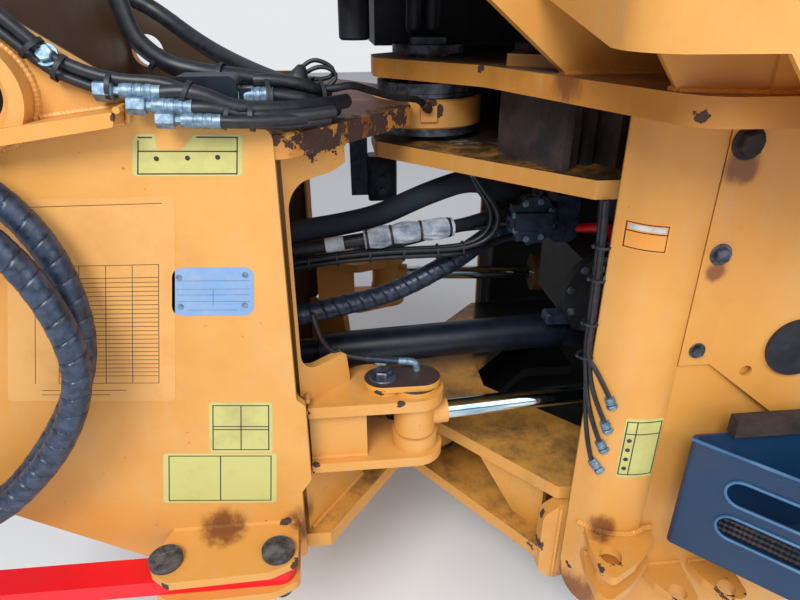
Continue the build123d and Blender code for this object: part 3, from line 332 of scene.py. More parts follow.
def tube(line, radius, sides=12):
    """Rings round a line, closed at both ends. radius is one number, one for each point, or
    a grid of points by sides."""
    line = np.asarray(line, float)
    ahead = np.gradient(line, axis=0)
    ahead /= np.linalg.norm(ahead, axis=1)[:, None]
    if np.ndim(radius) < 2:
        radius = np.reshape(radius, (-1, 1))
    radius = np.broadcast_to(radius, (len(line), sides))
    angle = np.arange(sides) * 2 * np.pi / sides
    side = np.array(Vector(ahead[0]).orthogonal().normalized())
    rings = []
    for point, step, reach in zip(line, ahead, radius):
        side = side - step * side.dot(step)
        side /= np.linalg.norm(side)
        other = np.cross(step, side)
        around = np.outer(np.cos(angle), side) + np.outer(np.sin(angle), other)
        rings.append(point + reach[:, None] * around)
    return np.array([np.repeat(line[:1], sides, axis=0), *rings, np.repeat(line[-1:], sides, axis=0)])


def surfaces(name, grids, look, body):
    """One piece from grids of rings in millimetres, each ring closed on itself."""
    points, faces, start = [], [], 0
    for grid in grids:
        grid = np.asarray(grid)
        rows, width = grid.shape[:2]
        index = start + np.arange(rows * width).reshape(rows, width)
        turned_on = np.roll(index, -1, axis=1)
        faces.append(np.stack([index[:-1], turned_on[:-1], turned_on[1:], index[1:]], axis=-1).reshape(-1, 4))
        points.append(grid.reshape(-1, 3))
        start += rows * width
    points = (np.concatenate(points) + (1150, 0, -850)) / 1000
    mesh = bpy.data.meshes.new(name)
    mesh.from_pydata(points.tolist(), [], np.concatenate(faces).tolist())
    mesh.polygons.foreach_set("use_smooth", [True] * len(mesh.polygons))
    mesh.set_sharp_from_angle(angle=math.radians(38))
    mesh.materials.append(look)
    piece = bpy.data.objects.new(name, mesh)
    bpy.context.collection.objects.link(piece)
    if body:
        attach(piece, body)
    return piece


def bead(points, radius):
    """A weld along the points: its radius swells by a tenth every 7 mm, and less in a slower wave."""
    line, run = spaced(points, 2.0)
    swell = 1 + 0.10 * np.sin(run * 2 * np.pi / 7.0) + 0.05 * np.sin(run * 0.31)
    return tube(line, radius * swell, 8)


FRONT_WELDS = [
    [(343, 491, 571), (610, 491, 571)], [(343, 491, 531), (610, 491, 531)],
    [(545, 491, 1462), (600, 491, 1455), (672, 491, 1446)],
    [(542, 491, 1461), (540, 493, 1450), (544, 491, 1437)],
    [(543, 500, 1462), (541, 520, 1462), (541, 545, 1462)], [(549, 491, 1436), (680, 491, 1418)],
    [(318, 461, 1409), (300, 474, 1409), (280, 450, 1409)], [(304, 352, 866), (304, 462, 866)],
    [(304, 352, 838), (304, 462, 838)], [(304, 352, 678), (304, 462, 678)],
    [(182, 440, 838), (304, 440, 838)], [(182, 440, 702), (304, 440, 702)],
    [(318, 440, 1369), (206, 358, 1369)], [(316, 445, 500), (190, 272, 500)]]
REAR_WELDS = [
    [(-418, 563, 1455), (-1140, 561, 1455)],
    [(-276, 514, 1455), (-330, 562, 1455), (-372, 574, 1455), (-412, 572, 1455)],
    [(-171, 461, 1498), (-690, 461, 1498)], [(-173, 425, 1498), (-171, 443, 1498), (-173, 461, 1498)],
    [(-238, 702, 1498), (-345, 737, 1498), (-690, 737, 1498)], [(-240, 675, 1498), (-238, 700, 1498)],
    [(-300, 561, 517), (-446, 561, 517)], [(-300, 561, 475), (-446, 561, 475)],
    [(-445, 561, 421), (-541, 561, 421)], [(-560, 561, 421), (-656, 561, 421)],
    [(-262, 497, 330), (-262, 497, 400), (-262, 497, 555)]]
surfaces("front_welds", [bead(points, 5.0) for points in FRONT_WELDS], frame_paint, "front_frame")
surfaces("rear_welds", [bead(points, 5.0) for points in REAR_WELDS], frame_paint, "rear_frame")


def circle(centre, radius, turns):
    """Places on a circle: its centre, plus the radius times the cosine and the sine of each turn."""
    return [(centre[0] + radius * math.cos(turn), centre[1] + radius * math.sin(turn)) for turn in turns]


ring = [(x, 491, z) for x, z in circle((757, 1483), 86, np.linspace(0, 2 * np.pi, 60))]
surfaces("boss_weld", [bead(ring, 6.0)], frame_paint, "front_frame")

# The side walls bulge behind their noses, where the plate was rolled, and step back
# to the straight wall; the lock lug's heavy weld follows that curve.
WALL_CURVE = np.array([
    (-274, 513), (-281, 521.5), (-288, 530), (-296, 539.6), (-304, 547.6), (-312, 553.8), (-320, 558.6),
    (-330, 563.4), (-340, 567), (-352, 570.4), (-365, 572.4), (-380, 573), (-398, 572), (-411, 570.5),
    (-416, 568), (-419, 561)])
BULGE_FOOT, BULGE_TOP, SKIN_DEPTH = 545, 1456, 11


def wall_face(x):
    """y of the bulged wall's outer face."""
    return float(np.interp(-x, -WALL_CURVE[:, 0], WALL_CURVE[:, 1]))


def rolled_skin(side):
    """The bulge's outer skin on one side: a strip with four corners at each point of the curve."""
    rows = []
    for x, y in WALL_CURVE:
        back, face = side * (y - SKIN_DEPTH), side * y
        rows.append([(x, back, BULGE_FOOT), (x, face, BULGE_FOOT), (x, face, BULGE_TOP),
                     (x, back, BULGE_TOP)])
    return np.array([np.repeat([np.mean(rows[0], axis=0)], 4, axis=0), *rows,
                     np.repeat([np.mean(rows[-1], axis=0)], 4, axis=0)])


surfaces("wall_bulges", [rolled_skin(1), rolled_skin(-1)], wall_paint, "rear_frame")
lug_seam = line_through([(-288, 532, 545), (-315, 556, 543), (-340, 574, 547), (-368, 577, 545),
                         (-388, 577, 541), (-412, 575, 546), (-424, 566, 545), (-449, 564, 545)])
surfaces("lock_lug_weld", [bead(lug_seam, 7.0)], frame_paint, "rear_frame")


# Under the frame a thin belly plate closes the space between the walls, bent up at its
# nose, near-black as painted shadow: it stands in for the shade under the machine.
def bevelled(rows, low, high, edge, axis):
    """A plate or block: an outline swept from low to high along Y or Z, its ends drawn in by edge."""
    rows = np.array(rows, float)
    middle = rows.mean(axis=0)
    inward = middle - rows
    drawn_in = rows + inward * (edge / np.linalg.norm(inward, axis=1))[:, None]
    centre = [middle] * len(rows)
    layers = [(centre, low), (drawn_in, low), (rows, low + edge), (rows, high - edge), (drawn_in, high),
              (centre, high)]
    return np.array([[(*row, level) if axis == "Z" else (row[0], level, row[1]) for row in layer]
                     for layer, level in layers])


BELLY_ROWS = [(-1148, 245), (-777, 245), (-405, 245), (-290, 334), (-296, 342), (-408, 255), (-777, 255),
              (-1148, 255)]
BELLY_HALF_WIDTH = 534
belly = np.array([[(x, y, z) for x, z in BELLY_ROWS]
                  for y in np.linspace(-BELLY_HALF_WIDTH, BELLY_HALF_WIDTH, 13)])
surfaces("belly_plate", [belly], shadow_black, "rear_frame")

# A valve block stands on a column at the right web, under the upper lug.
valve_outline = [(46, -400), (122, -400), (128, -394), (128, -336), (122, -330), (46, -330), (40, -336),
                 (40, -394)]
column_outline = [(128, 1066), (180, 1066), (182, 1240), (150, 1300), (216, 1370), (128, 1370)]
valve_pieces = [bevelled(valve_outline, 1052, 1190, 3, "Z"), bevelled(column_outline, -380, -350, 3, "Y")]


# Bolts hold the covers, the pump and the pads: hexagon heads on round washers, some
# plated and some rusted through. A head is a turned shape with six sides.
def turned(profile, centre, axis, sides=28):
    """Rings of a turned shape: (radius, height) rows about an axis through centre, in millimetres."""
    axis = Vector(axis).normalized()
    side = axis.orthogonal().normalized()
    other = axis.cross(side)
    angle = np.arange(sides) * 2 * np.pi / sides
    ring = np.outer(np.cos(angle), side) + np.outer(np.sin(angle), other)
    return np.array([np.array(centre) + r * ring + h * np.array(axis) for r, h in profile])


def bolt(centre, axis, size, washer=1.35):
    """A hexagon bolt head and its washer; size is the head's radius over its corners."""
    rim = size * washer
    disc = [(0, 0), (rim, 0), (rim, size * 0.14), (rim - size * 0.05, size * 0.2), (0, size * 0.2)]
    head = [(size, 0), (size, size * 0.72), (size * 0.88, size * 0.85), (0, size * 0.85)]
    return [turned(disc, centre, axis), turned(head, centre, axis, 6)]


for height in (1086, 1124, 1160):
    valve_pieces += bolt((84, -330, height), (0, 1, 0), 11)
surfaces("valve_block", valve_pieces, pump_grey, "front_frame")
cover_bolts = bolt((-451, 566, 1203), (0, 1, 0), 15) + bolt((-451, 566, 1005), (0, 1, 0), 12)
surfaces("cover_bolts", cover_bolts, bare_steel, "rear_frame")
surfaces("cover_rusty_bolt", bolt((-451, 566, 1399), (0, 1, 0), 21), rusty_plate, "rear_frame")
pad_bolts = bolt((-153, 274, 1519), (0, 0, 1), 23, 1.2) + bolt((-197, 312, 1519), (0, 0, 1), 23, 1.2)
surfaces("pad_bolts", pad_bolts, rusty_plate, "rear_frame")
clip_bolt = bolt((-470, 181, 958), (0, 1, 0), 10)
surfaces("gearbox_clip", clip_bolt, zinc, "rear_frame")

# The upper seal is a dark greasy ring with a row of bolts; the grease pad on the
# housing takes the end fitting of the remote grease line that comes over the lug.
def round_turns(count, start):
    """So many turns spread evenly over a full circle, from start, in radians."""
    return np.linspace(start, 2 * np.pi + start, count + 1)[:-1]


seal_ring = [(118, 1414), (121, 1416), (121, 1424), (112, 1428), (112, 1440), (106, 1446), (60, 1446)]
surfaces("upper_seal", [turned(seal_ring, (0, 0, 0), (0, 0, 1), 72)], bare_steel, "front_frame")
seal_bolts = [grid for x, y in circle((0, 0), 96, round_turns(12, 0))
              for grid in bolt((x, y, 1445), (0, 0, 1), 8)]
surfaces("seal_bolts", seal_bolts, bare_steel, "front_frame")
grease_line, _ = spaced(line_through([
    (282, 330, 1462), (227, 330, 1462), (190, 318, 1470), (150, 262, 1452), (100, 215, 1432), (62, 190, 1426),
    (38, 170, 1420), (22, 152, 1402)]), 6)
surfaces("grease_line", [tube(grease_line, 7.0)], rubber, "front_frame")
surfaces("grease_fitting", [tube([(30, 162, 1412), (20, 150, 1401), (14, 142, 1394)], [10, 11, 8], 10)],
         rusty_plate, "front_frame")

# The clevis pins are locked by obround caps, rusted brown with chipped yellow rims,
# each with one large bolt, and a plated elbow brings grease to the left one.
for side, name in ((1, "left"), (-1, "right")):
    surfaces(f"cap_bolt_{name}", bolt((142, 394 * side, 874), (0, 0, 1), 21, 1.55), bare_steel, "front_frame")
elbow_line = line_through([(66, 374, 873), (66, 374, 891), (80, 371, 895), (106, 370, 896)])
surfaces("cap_elbow", [tube(elbow_line, 8.5, 10)], zinc, "front_frame")
sleeve, _ = spaced(line_through([(104, 370, 896), (140, 368, 900), (176, 366, 905)]), 4)
surfaces("cap_sleeve", [tube(sleeve, 8.0)], pump_grey, "front_frame")
thin, _ = spaced(line_through([(174, 366, 904), (230, 362, 914), (262, 368, 940), (275, 392, 985),
                               (285, 404, 1040)]), 5)
surfaces("cap_hose", [tube(thin, 5.5)], rubber, "front_frame")


# The hoses that cross the hinge hang in easy curves from the cross plate in the front
# frame to the pump and the hinge plate. One has a textile
# braid, one a spiral guard against rubbing, and four thin ones are tied in a bundle.
def guarded(line, radius, pitch, groove, depth):
    """A hose in a spiral guard: a broad flat band, with a narrow groove between its turns."""
    line, run = spaced(line, 2.0)
    sides = 24
    phase = (run[:, None] / pitch - np.arange(sides) / sides) % 1.0
    sunk = np.clip((groove / 2 - np.abs(phase - 0.5)) * 30, 0, 1)
    lapped = 0.8 * phase
    return tube(line, radius + lapped - depth * sunk, sides)


def weave_look(name, dark, light):
    """Black textile braid: small diamonds from two crossed wave patterns."""
    look, shader = new_look(name, 0.85)
    place = add_node(look, "ShaderNodeTexCoord").outputs["Object"]
    waves = []
    for turn in (0.7, -0.7):
        turned_place = add_node(look, "ShaderNodeMapping", {"Vector": place, "Rotation": (0, turn, 0)})
        waves.append(add_node(look, "ShaderNodeTexWave", {
            "Vector": turned_place.outputs["Vector"], "Scale": 110.0, "Distortion": 0.6}).outputs["Fac"])
    threads = combine(look, *waves)
    look.node_tree.links.new(mix(look, threads, dark, light), shader.inputs["Base Color"])
    bump(look, shader, threads, 0.0006)
    return look


def swaged(start, end, radius):
    """A hose end from start to end: a hexagon nut, a neck and a ribbed sleeve."""
    start, end = np.array(start, float), np.array(end, float)
    reach = float(np.linalg.norm(end - start))
    sleeve = [(0, 0.36 * reach), (radius * 1.15, 0.38 * reach)]
    for share in (0.50, 0.64, 0.78):
        sleeve += [(radius * 1.3, share * reach), (radius * 1.3, (share + 0.08) * reach),
                   (radius * 1.2, (share + 0.09) * reach), (radius * 1.2, (share + 0.12) * reach)]
    sleeve += [(radius * 1.25, reach), (0, reach)]
    nut = [(0, 0), (radius * 1.45, 0), (radius * 1.5, 0.04 * reach), (radius * 1.5, 0.24 * reach),
           (radius * 1.4, 0.28 * reach), (radius * 0.8, 0.29 * reach), (radius * 0.8, 0.38 * reach)]
    return [turned(nut, start, end - start, 6), turned(sleeve, start, end - start, 18)]


def bend_with_joint(piece):
    """Bakes the piece's placement into its mesh; it rides on no body."""
    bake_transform(piece)


braid = weave_look("textile_braid", (0.008, 0.013, 0.022), (0.040, 0.058, 0.090))
guard_plastic = metal_look("guard_plastic", (0.010, 0.018, 0.036), (0.034, 0.056, 0.105), 0.36, 0.0, 50.0)
FRONT_FACE, FRONT_START, PUMP_FACE, REAR_START = 640, 616, -315, -275
HINGE_PLATE_FACE, LARGEST_FITTING, STOUT = 1285, 20, 20
CROSSING = (
    ("braided_hose", 28.0, [
        (FRONT_START, 66, 1022), (470, 58, 1050), (340, 50, 1092), (217, 50, 1108), (120, 49, 1128),
        (30, 46, 1168), (-30, 44, 1190), (-95, 38, 1208), (-155, 20, 1196), (-218, -10, 1160),
        (REAR_START, -18, 1148)]),
    ("guarded_hose", 26.0, [
        (FRONT_START, 120, 868), (470, 118, 874), (333, 110, 888), (224, 80, 896), (120, 48, 902),
        (30, 38, 934), (-30, 34, 966), (-90, 24, 994), (-145, 6, 1028), (-220, -12, 1066),
        (REAR_START, -18, 1078)]),
    ("thin_hose_a", 8.0, [
        (FRONT_START, 25, 962), (500, 26, 966), (400, 29, 985), (300, 30, 1007), (200, 30, 1022),
        (115, 30, 1036), (30, 26, 1055), (-30, 24, 1070), (-90, 29, 1078), (-150, 34, 1084),
        (-225, 42, 1096), (REAR_START, 44, 1098)]),
    ("thin_hose_b", 8.0, [
        (FRONT_START, -15, 942), (500, -16, 946), (400, -19, 962), (300, -20, 987), (200, -20, 1002),
        (115, -18, 1015), (30, -10, 1032), (-30, -12, 1050), (-90, -18, 1062), (-150, -30, 1074),
        (-225, -45, 1102), (REAR_START, -48, 1108)]),
    ("wrapped_hose", 17.0, [
        (FRONT_START, 124, 1036), (470, 114, 1054), (322, 108, 1066), (166, 107, 1086), (30, 104, 1104),
        (-30, 100, 1106), (-85, 84, 1107), (-150, 58, 1116), (-215, 38, 1126), (REAR_START, 36, 1128)]),
    ("bundle_hose_a", 6.5, [
        (FRONT_START, 96, 992), (480, 94, 1014), (326, 97, 1036), (219, 97, 1048), (120, 97, 1053),
        (30, 97, 1054), (-30, 97, 1054), (-96, 97, 1060), (-140, 97, 1082), (-156, 95, 1124),
        (-142, 92, 1168), (-112, 89, 1206), (-92, 88, 1245)]),
    ("bundle_hose_b", 6.5, [
        (FRONT_START, 122, 992), (480, 113, 1012), (326, 112, 1036), (219, 112, 1048), (120, 112, 1053),
        (30, 112, 1054), (-30, 112, 1054), (-100, 112, 1058), (-150, 112, 1080), (-170, 113, 1124),
        (-154, 115, 1168), (-120, 117, 1208), (-96, 118, 1245)]),
    ("bundle_hose_c", 6.5, [
        (FRONT_START, 96, 966), (480, 94, 996), (326, 97, 1022), (219, 97, 1034), (120, 97, 1039),
        (30, 97, 1040), (-30, 97, 1040), (-88, 89, 1042), (-150, 66, 1047), (-215, 34, 1055),
        (REAR_START, 20, 1060)]),
    ("bundle_hose_d", 6.5, [
        (FRONT_START, 122, 966), (480, 113, 994), (326, 112, 1022), (219, 112, 1034), (120, 112, 1039),
        (30, 112, 1040), (-30, 112, 1040), (-88, 104, 1041), (-150, 80, 1046), (-215, 56, 1056),
        (REAR_START, 46, 1062)]),
)
lines, front_ends, rear_ends = {}, [], []
for name, radius, route in CROSSING:
    line, _ = spaced(line_through(route), 5)
    lines[name] = line
    fitting = min(radius * 0.95 + 1, LARGEST_FITTING)
    if name == "guarded_hose":
        grid = guarded(line, radius, 34, 0.10, 2.6)
    else:
        grid = tube(line, radius, 24 if radius > STOUT else 12)
    look = {"braided_hose": braid, "guarded_hose": guard_plastic}.get(name, rubber)
    hose = surfaces(name, [grid], look, None)
    bend_with_joint(hose)
    if name == "guarded_hose":
        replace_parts(hose, "crossing_hoses_front", "crossing_hoses_rear")
    first, last = route[0], route[-1]
    front_ends += swaged((FRONT_FACE, *first[1:]), (FRONT_START - 46, *first[1:]), fitting)
    if last[0] == REAR_START:
        rear_ends += swaged((PUMP_FACE, *last[1:]), (REAR_START + 8, *last[1:]), fitting)
    else:
        rear_ends += swaged((*last[:2], HINGE_PLATE_FACE), (*last[:2], HINGE_PLATE_FACE - 45), fitting)
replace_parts(surfaces("front_hose_ends", front_ends, zinc, "front_frame"), "front_hose_fittings")
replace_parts(surfaces("rear_hose_ends", rear_ends, zinc, "rear_frame"), "rear_hose_fittings")


# A strip of white cloth is wound round the stout hose above the bundle and held by
# black ties. It is a creased sleeve: its radius swells between the ties and carries
# folds that run along it.
def strap(centre, axis, radius, width=5.0):
    """A cable tie: a flat band round a bundle, and its small square head."""
    band = [(radius, -width / 2), (radius + 1.6, -width / 2), (radius + 1.6, width / 2), (radius, width / 2),
            (radius, -width / 2)]
    axis = Vector(axis).normalized()
    out = np.array(axis.cross(Vector((0, -1, 0.4))).normalized())
    foot = np.array(centre) + out * radius
    head = tube([foot, foot + out * 4, foot + out * 5], [4.5, 4.2, 3.0], 4)
    return [turned(band, centre, axis), head]


cloth_look, shader = new_look("white_cloth", 0.9)
soiling = ramp(cloth_look, noise(cloth_look, 24.0, 6), 0.3, 0.7)
tone = mix(cloth_look, soiling, (0.16, 0.20, 0.27), (0.50, 0.56, 0.64))
cloth_look.node_tree.links.new(tone, shader.inputs["Base Color"])
bump(cloth_look, shader, noise(cloth_look, 500.0, 2), 0.0004)
wrapped = lines["wrapped_hose"]
line, run = spaced(wrapped[(wrapped[:, 0] < 168) & (wrapped[:, 0] > -58)], 2.5)
turn = np.arange(64) * 2 * np.pi / 64
TIE_STOPS = (8, 70, 142, float(run[-1]) - 8)
waist = np.min([np.abs(run - stop) for stop in TIE_STOPS], axis=0)[:, None]
folds = 1.5 * np.sin(5 * turn + run[:, None] / 22) + 1.1 * np.sin(11 * turn - run[:, None] / 13)
gather = 1.0 * np.sin(17 * turn + 0.4) * np.exp(-waist / 9)
puff = 4.5 * (1 - np.exp(-waist / 14))
cloth_radius = 22.0 + puff + folds * (1 - np.exp(-waist / 12)) + gather
cloth = surfaces("cloth_wrap", [tube(line, cloth_radius, 64)[1:-1]], cloth_look, None)
bend_with_joint(cloth)
for index, stop in enumerate(TIE_STOPS):
    place = int(stop / run[-1] * (len(line) - 1))
    axis = line[min(place + 1, len(line) - 1)] - line[max(place - 1, 0)]
    band = strap(line[place], axis, 23.4, 6)
    bend_with_joint(surfaces(f"wrap_tie_{index + 1}", band, black_plastic, None))

# The thin hoses are tied every hand's breadth, and the stout one has a pale label.
for index, x in enumerate((430, 300, 232, 150, 66, -20, -84)):
    four = [lines[f"bundle_hose_{letter}"] for letter in "abcd"]
    middle = np.mean([hose_line[np.argmin(np.abs(hose_line[:, 0] - x))] for hose_line in four], axis=0)
    band = strap(middle, (1, 0, -0.04), 18.5, 4.5)
    bend_with_joint(surfaces(f"bundle_tie_{index + 1}", band, black_plastic, None))
label, _ = spaced(wrapped[(wrapped[:, 0] < 262) & (wrapped[:, 0] > 212)], 3)
pale_label = metal_look("pale_label", (0.38, 0.42, 0.48), (0.60, 0.64, 0.70), 0.6, 0.0, 30.0)
surfaces("hose_label", [tube(label, 18.2, 24)], pale_label, "front_frame")

# Two stout hoses in spiral guards loop down in front of the left side plate, from the
# upper bracket to the lower one, towards the lift arms.
LOOPS = (
    ("loop_hose_outer", 535, [(900, 1390), (800, 1390), (700, 1280), (668, 1130), (690, 1000), (780, 850),
                              (920, 700), (1030, 700)]),
    ("loop_hose_inner", 595, [(900, 1350), (800, 1350), (705, 1240), (662, 1090), (685, 975), (765, 850),
                              (910, 720), (1030, 720)]),
)
for name, y, route in LOOPS:
    line, _ = spaced(line_through([(x, y, z) for x, z in route]), 5)
    loop = surfaces(name, [guarded(line, 23.0, 36, 0.10, 2.8)], guard_plastic, "front_frame")
    if name == "loop_hose_outer":
        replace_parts(loop, "loop_hoses")


# Hoses leave the junction block and the top of the side plate through plated elbows
# and swaged sleeves, run in along the deck of the front frame, and are tied in bunches.
def hose_run(route, radius, sides=14):
    """A hose of one radius along the smooth line that the route controls."""
    line, _ = spaced(line_through(route), 6)
    return tube(line, radius, sides)


DECK_HOSES = [
    (13, [(481, 510, 1481), (451, 512, 1484), (416, 512, 1477), (384, 510, 1460), (336, 500, 1452),
          (248, 440, 1448), (200, 360, 1446)]),
    (11, [(436, 520, 1460), (405, 520, 1460), (376, 510, 1449), (338, 500, 1442), (277, 460, 1435)]),
    (10, [(394, 530, 1441), (359, 530, 1439), (321, 520, 1440), (268, 490, 1437)]),
    (12, [(320, 440, 1467), (290, 440, 1464), (265, 425, 1456), (240, 390, 1446), (215, 335, 1440)]),
    (11, [(351, 430, 1490), (310, 430, 1490), (277, 420, 1482), (251, 400, 1472), (237, 370, 1457)]),
    (20, [(800, -200, 1670), (689, -200, 1613), (642, -200, 1586), (560, -150, 1530), (473, -60, 1490),
          (360, 120, 1462), (290, 260, 1456), (240, 330, 1452)]),
    (16, [(584, 300, 1616), (574, 300, 1562), (556, 300, 1537), (530, 300, 1515), (503, 300, 1502),
          (446, 310, 1491), (392, 330, 1487), (320, 360, 1478), (250, 370, 1462)]),
    (14, [(592, 280, 1610), (580, 278, 1550), (550, 280, 1520), (510, 285, 1496), (450, 300, 1478),
          (380, 320, 1472), (280, 350, 1458)]),
    (4, [(281, 300, 1495), (263, 300, 1513), (236, 300, 1508), (216, 300, 1493), (228, 300, 1476),
         (274, 310, 1478)]),
    (4, [(285, 315, 1480), (262, 318, 1498), (232, 315, 1502), (210, 312, 1484), (232, 318, 1464),
         (262, 330, 1456)]),
]
HARNESS = [
    (10, [(800, 503, 1664), (740, 504, 1632), (690, 505, 1592), (647, 505, 1548), (621, 505, 1526),
          (555, 505, 1500), (469, 505, 1496), (428, 508, 1470), (384, 510, 1450), (292, 505, 1440),
          (221, 470, 1444)]),
    (8, [(800, 505, 1646), (740, 506, 1612), (694, 507, 1570), (650, 507, 1528), (624, 507, 1508),
         (558, 507, 1482), (471, 510, 1478), (429, 514, 1456), (385, 515, 1438), (293, 505, 1428),
         (230, 470, 1432)]),
]
for name, runs in (("deck_hoses", DECK_HOSES), ("harness", HARNESS)):
    surfaces(name, [hose_run(route, radius) for radius, route in runs], rubber, "front_frame")
DECK_FITTINGS = [((577, 508, 1487), (481, 510, 1481), 11), ((530, 520, 1467), (436, 520, 1460), 10),
                 ((489, 530, 1446), (394, 530, 1441), 9), ((396, 440, 1468), (320, 440, 1467), 11)]
surfaces("deck_fittings", [grid for ends in DECK_FITTINGS for grid in swaged(*ends)], zinc, "front_frame")
surfaces("harness_clamp", bolt((636, 507, 1536), (0, 1, 0.5), 13), zinc, "front_frame")
DECK_TIES = [((250, 380, 1458), (1, 0.5, 0), 30), ((330, 440, 1462), (1, 0.2, 0), 30),
             ((540, 290, 1512), (1, 0.1, 0.8), 22), ((420, 320, 1484), (1, -0.2, 0.1), 24),
             ((655, 506, 1546), (0.6, 0, 0.8), 19), ((622, 506, 1518), (0.8, 0, 0.5), 19),
             ((555, 506, 1491), (1, 0, 0.15), 19), ((446, 509, 1480), (1, 0, 0.5), 19),
             ((388, 512, 1446), (1, 0, 0.3), 19), ((350, 511, 1443), (1, 0, 0), 19)]
surfaces("deck_ties", [grid for tie in DECK_TIES for grid in strap(*tie, 7)], black_plastic, "front_frame")
knot_line, run = spaced(line_through([(292, 345, 1494), (268, 338, 1474), (246, 330, 1450), (232, 326, 1428),
                                      (226, 322, 1414)]), 3)
turn = np.arange(18) * 2 * np.pi / 18
lumps = 15 + 5 * np.sin(run[:, None] / 7) + 2.5 * np.sin(3 * turn + run[:, None] / 9)
surfaces("taped_knot", [tube(knot_line, lumps, 18)], black_plastic, "front_frame")


# Signs and plates on the frame are bare: pale film or sheet with thin printed frames
# and dividing lines, and nothing written on them.
PLATE_FACE, FILM_THICKNESS, PRINT_THICKNESS = 490, 0.5, 0.15
FILM_FACE = PLATE_FACE + FILM_THICKNESS


def extent(place):
    """A sign's width and height in millimetres."""
    return (float(np.linalg.norm(place(1, 0.5, 0) - place(0, 0.5, 0))),
            float(np.linalg.norm(place(0.5, 1, 0) - place(0.5, 0, 0))))


def closed_strip(rows):
    """Rings of four points with both ends drawn together."""
    rows = np.array(rows)
    return np.concatenate([rows[:1].mean(axis=1, keepdims=True).repeat(4, axis=1), rows,
                           rows[-1:].mean(axis=1, keepdims=True).repeat(4, axis=1)])


def film_grid(place, corner, thickness, tear=None):
    """A thin film with rounded corners; its top edge is torn down to the share that tear gives."""
    wide, tall = extent(place)
    turn = np.linspace(0, math.pi / 2, 7)
    ends, insets = corner * (1 - np.cos(turn)) / wide, corner * (1 - np.sin(turn)) / tall
    shares = np.concatenate([ends, np.linspace(ends[-1], 1 - ends[-1], 42)[1:-1], 1 - ends[::-1]])
    insets = np.concatenate([insets, np.zeros(40), insets[::-1]])
    rows = []
    for share, inset in zip(shares, insets):
        top = max(inset, tear(share)) if tear else inset
        rows.append([place(share, top, 0), place(share, top, thickness), place(share, 1 - inset, thickness),
                     place(share, 1 - inset, 0)])
    return closed_strip(rows)


def print_line(place, across, down, width, lift):
    """A printed line between two shares across and two down."""
    wide, tall = extent(place)
    half_across, half_down = width / 2 / wide, width / 2 / tall
    stops = np.linspace(across[0] - half_across, across[1] + half_across, 42 if across[1] > across[0] else 3)
    top, bottom = down[0] - half_down, down[1] + half_down
    face = lift + PRINT_THICKNESS
    return closed_strip([[place(share, top, lift), place(share, top, face), place(share, bottom, face),
                          place(share, bottom, lift)] for share in stops])


def ruled(rows=(), columns=(), low=0.06, high=0.94):
    """The printed frame of a sign with its dividing lines."""
    lines = [((low, high), (row, row)) for row in (low, *rows, high)]
    return lines + [((column, column), (low, high)) for column in (low, *columns, high)]


def sign(name, place, film, print_look, lines, body, width=2.2, corner=7.0, tear=None):
    """A bare sign: film with printed lines."""
    surfaces(name, [film_grid(place, corner, FILM_THICKNESS, tear)], film, body)
    strokes = [print_line(place, across, down, width, FILM_THICKNESS) for across, down in lines]
    surfaces(f"{name}_print", strokes, print_look, body)


def on_plate(corners):
    """Places on the side plate, between corners given as x and height."""
    a, b, c, d = (np.array((x, PLATE_FACE, z), float) for x, z in corners)

    def place(across, down, lift):
        top, bottom = a * (1 - across) + b * across, d * (1 - across) + c * across
        return top * (1 - down) + bottom * down + (0, lift, 0)
    return place


def on_wall(front, back, top, bottom):
    """Places on the bulged face of the left rear wall."""
    def place(across, down, lift):
        x = front + (back - front) * across
        return np.array((x, wall_face(x) + lift, top + (bottom - top) * down))
    return place


def film_look(name, colour, dirty, roughness=0.5):
    """Printed film or thin sheet, clouded from its colour to a dirty tone."""
    look, shader = new_look(name, roughness)
    tone = mix(look, ramp(look, noise(look, 9.0, 6, 0.7), 0.45, 0.75), colour, dirty)
    look.node_tree.links.new(tone, shader.inputs["Base Color"])
    bump(look, shader, noise(look, 60.0, 3), 0.0001)
    return look


yellow_film = film_look("yellow_film", (0.52, 0.50, 0.17), (0.42, 0.38, 0.13))
steel_plate = film_look("type_plate_metal", (0.18, 0.32, 0.56), (0.30, 0.38, 0.52), 0.3)
clear_film = film_look("faded_film", (0.67, 0.345, 0.100), (0.62, 0.30, 0.080))
orange_film = film_look("orange_film", (0.74, 0.30, 0.05), (0.62, 0.26, 0.05))
ink = film_look("faded_ink", (0.012, 0.012, 0.014), (0.05, 0.04, 0.03), 0.6)
grey_ink = film_look("grey_ink", (0.12, 0.16, 0.22), (0.20, 0.26, 0.34), 0.5)
TORN = ((0, 0.14), (0.03, 0.0), (0.205, 0.0), (0.22, 0.33), (0.24, 0.36), (0.40, 0.37), (0.43, 0.40),
        (0.46, 0.34), (0.455, 0.22), (0.50, 0.14), (0.545, 0.05), (0.56, 0.0), (1, 0))
tear_shares, tear_depths = zip(*sorted(TORN))
grease_lines = [((0.05, 0.17), (0.08, 0.08)), ((0.58, 0.95), (0.07, 0.07)), ((0.05, 0.95), (0.40, 0.40)),
                ((0.05, 0.95), (0.94, 0.94)), ((0.05, 0.05), (0.16, 0.94)), ((0.95, 0.95), (0.07, 0.94))]
sign("grease_sign", on_plate([(541, 1418), (370, 1414), (378, 1346), (554, 1350)]), yellow_film, ink,
     grease_lines, "front_frame", tear=lambda share: float(np.interp(share, tear_shares, tear_depths)))
dots = [turned([(0, 0), (4.2, 0), (4.2, 0.2), (0, 0.2)], (x, FILM_FACE, z), (0, 1, 0), 16)
        for x, z in ((511, 1378), (462, 1378), (414, 1378))]
surfaces("grease_dots", dots, ink, "front_frame")
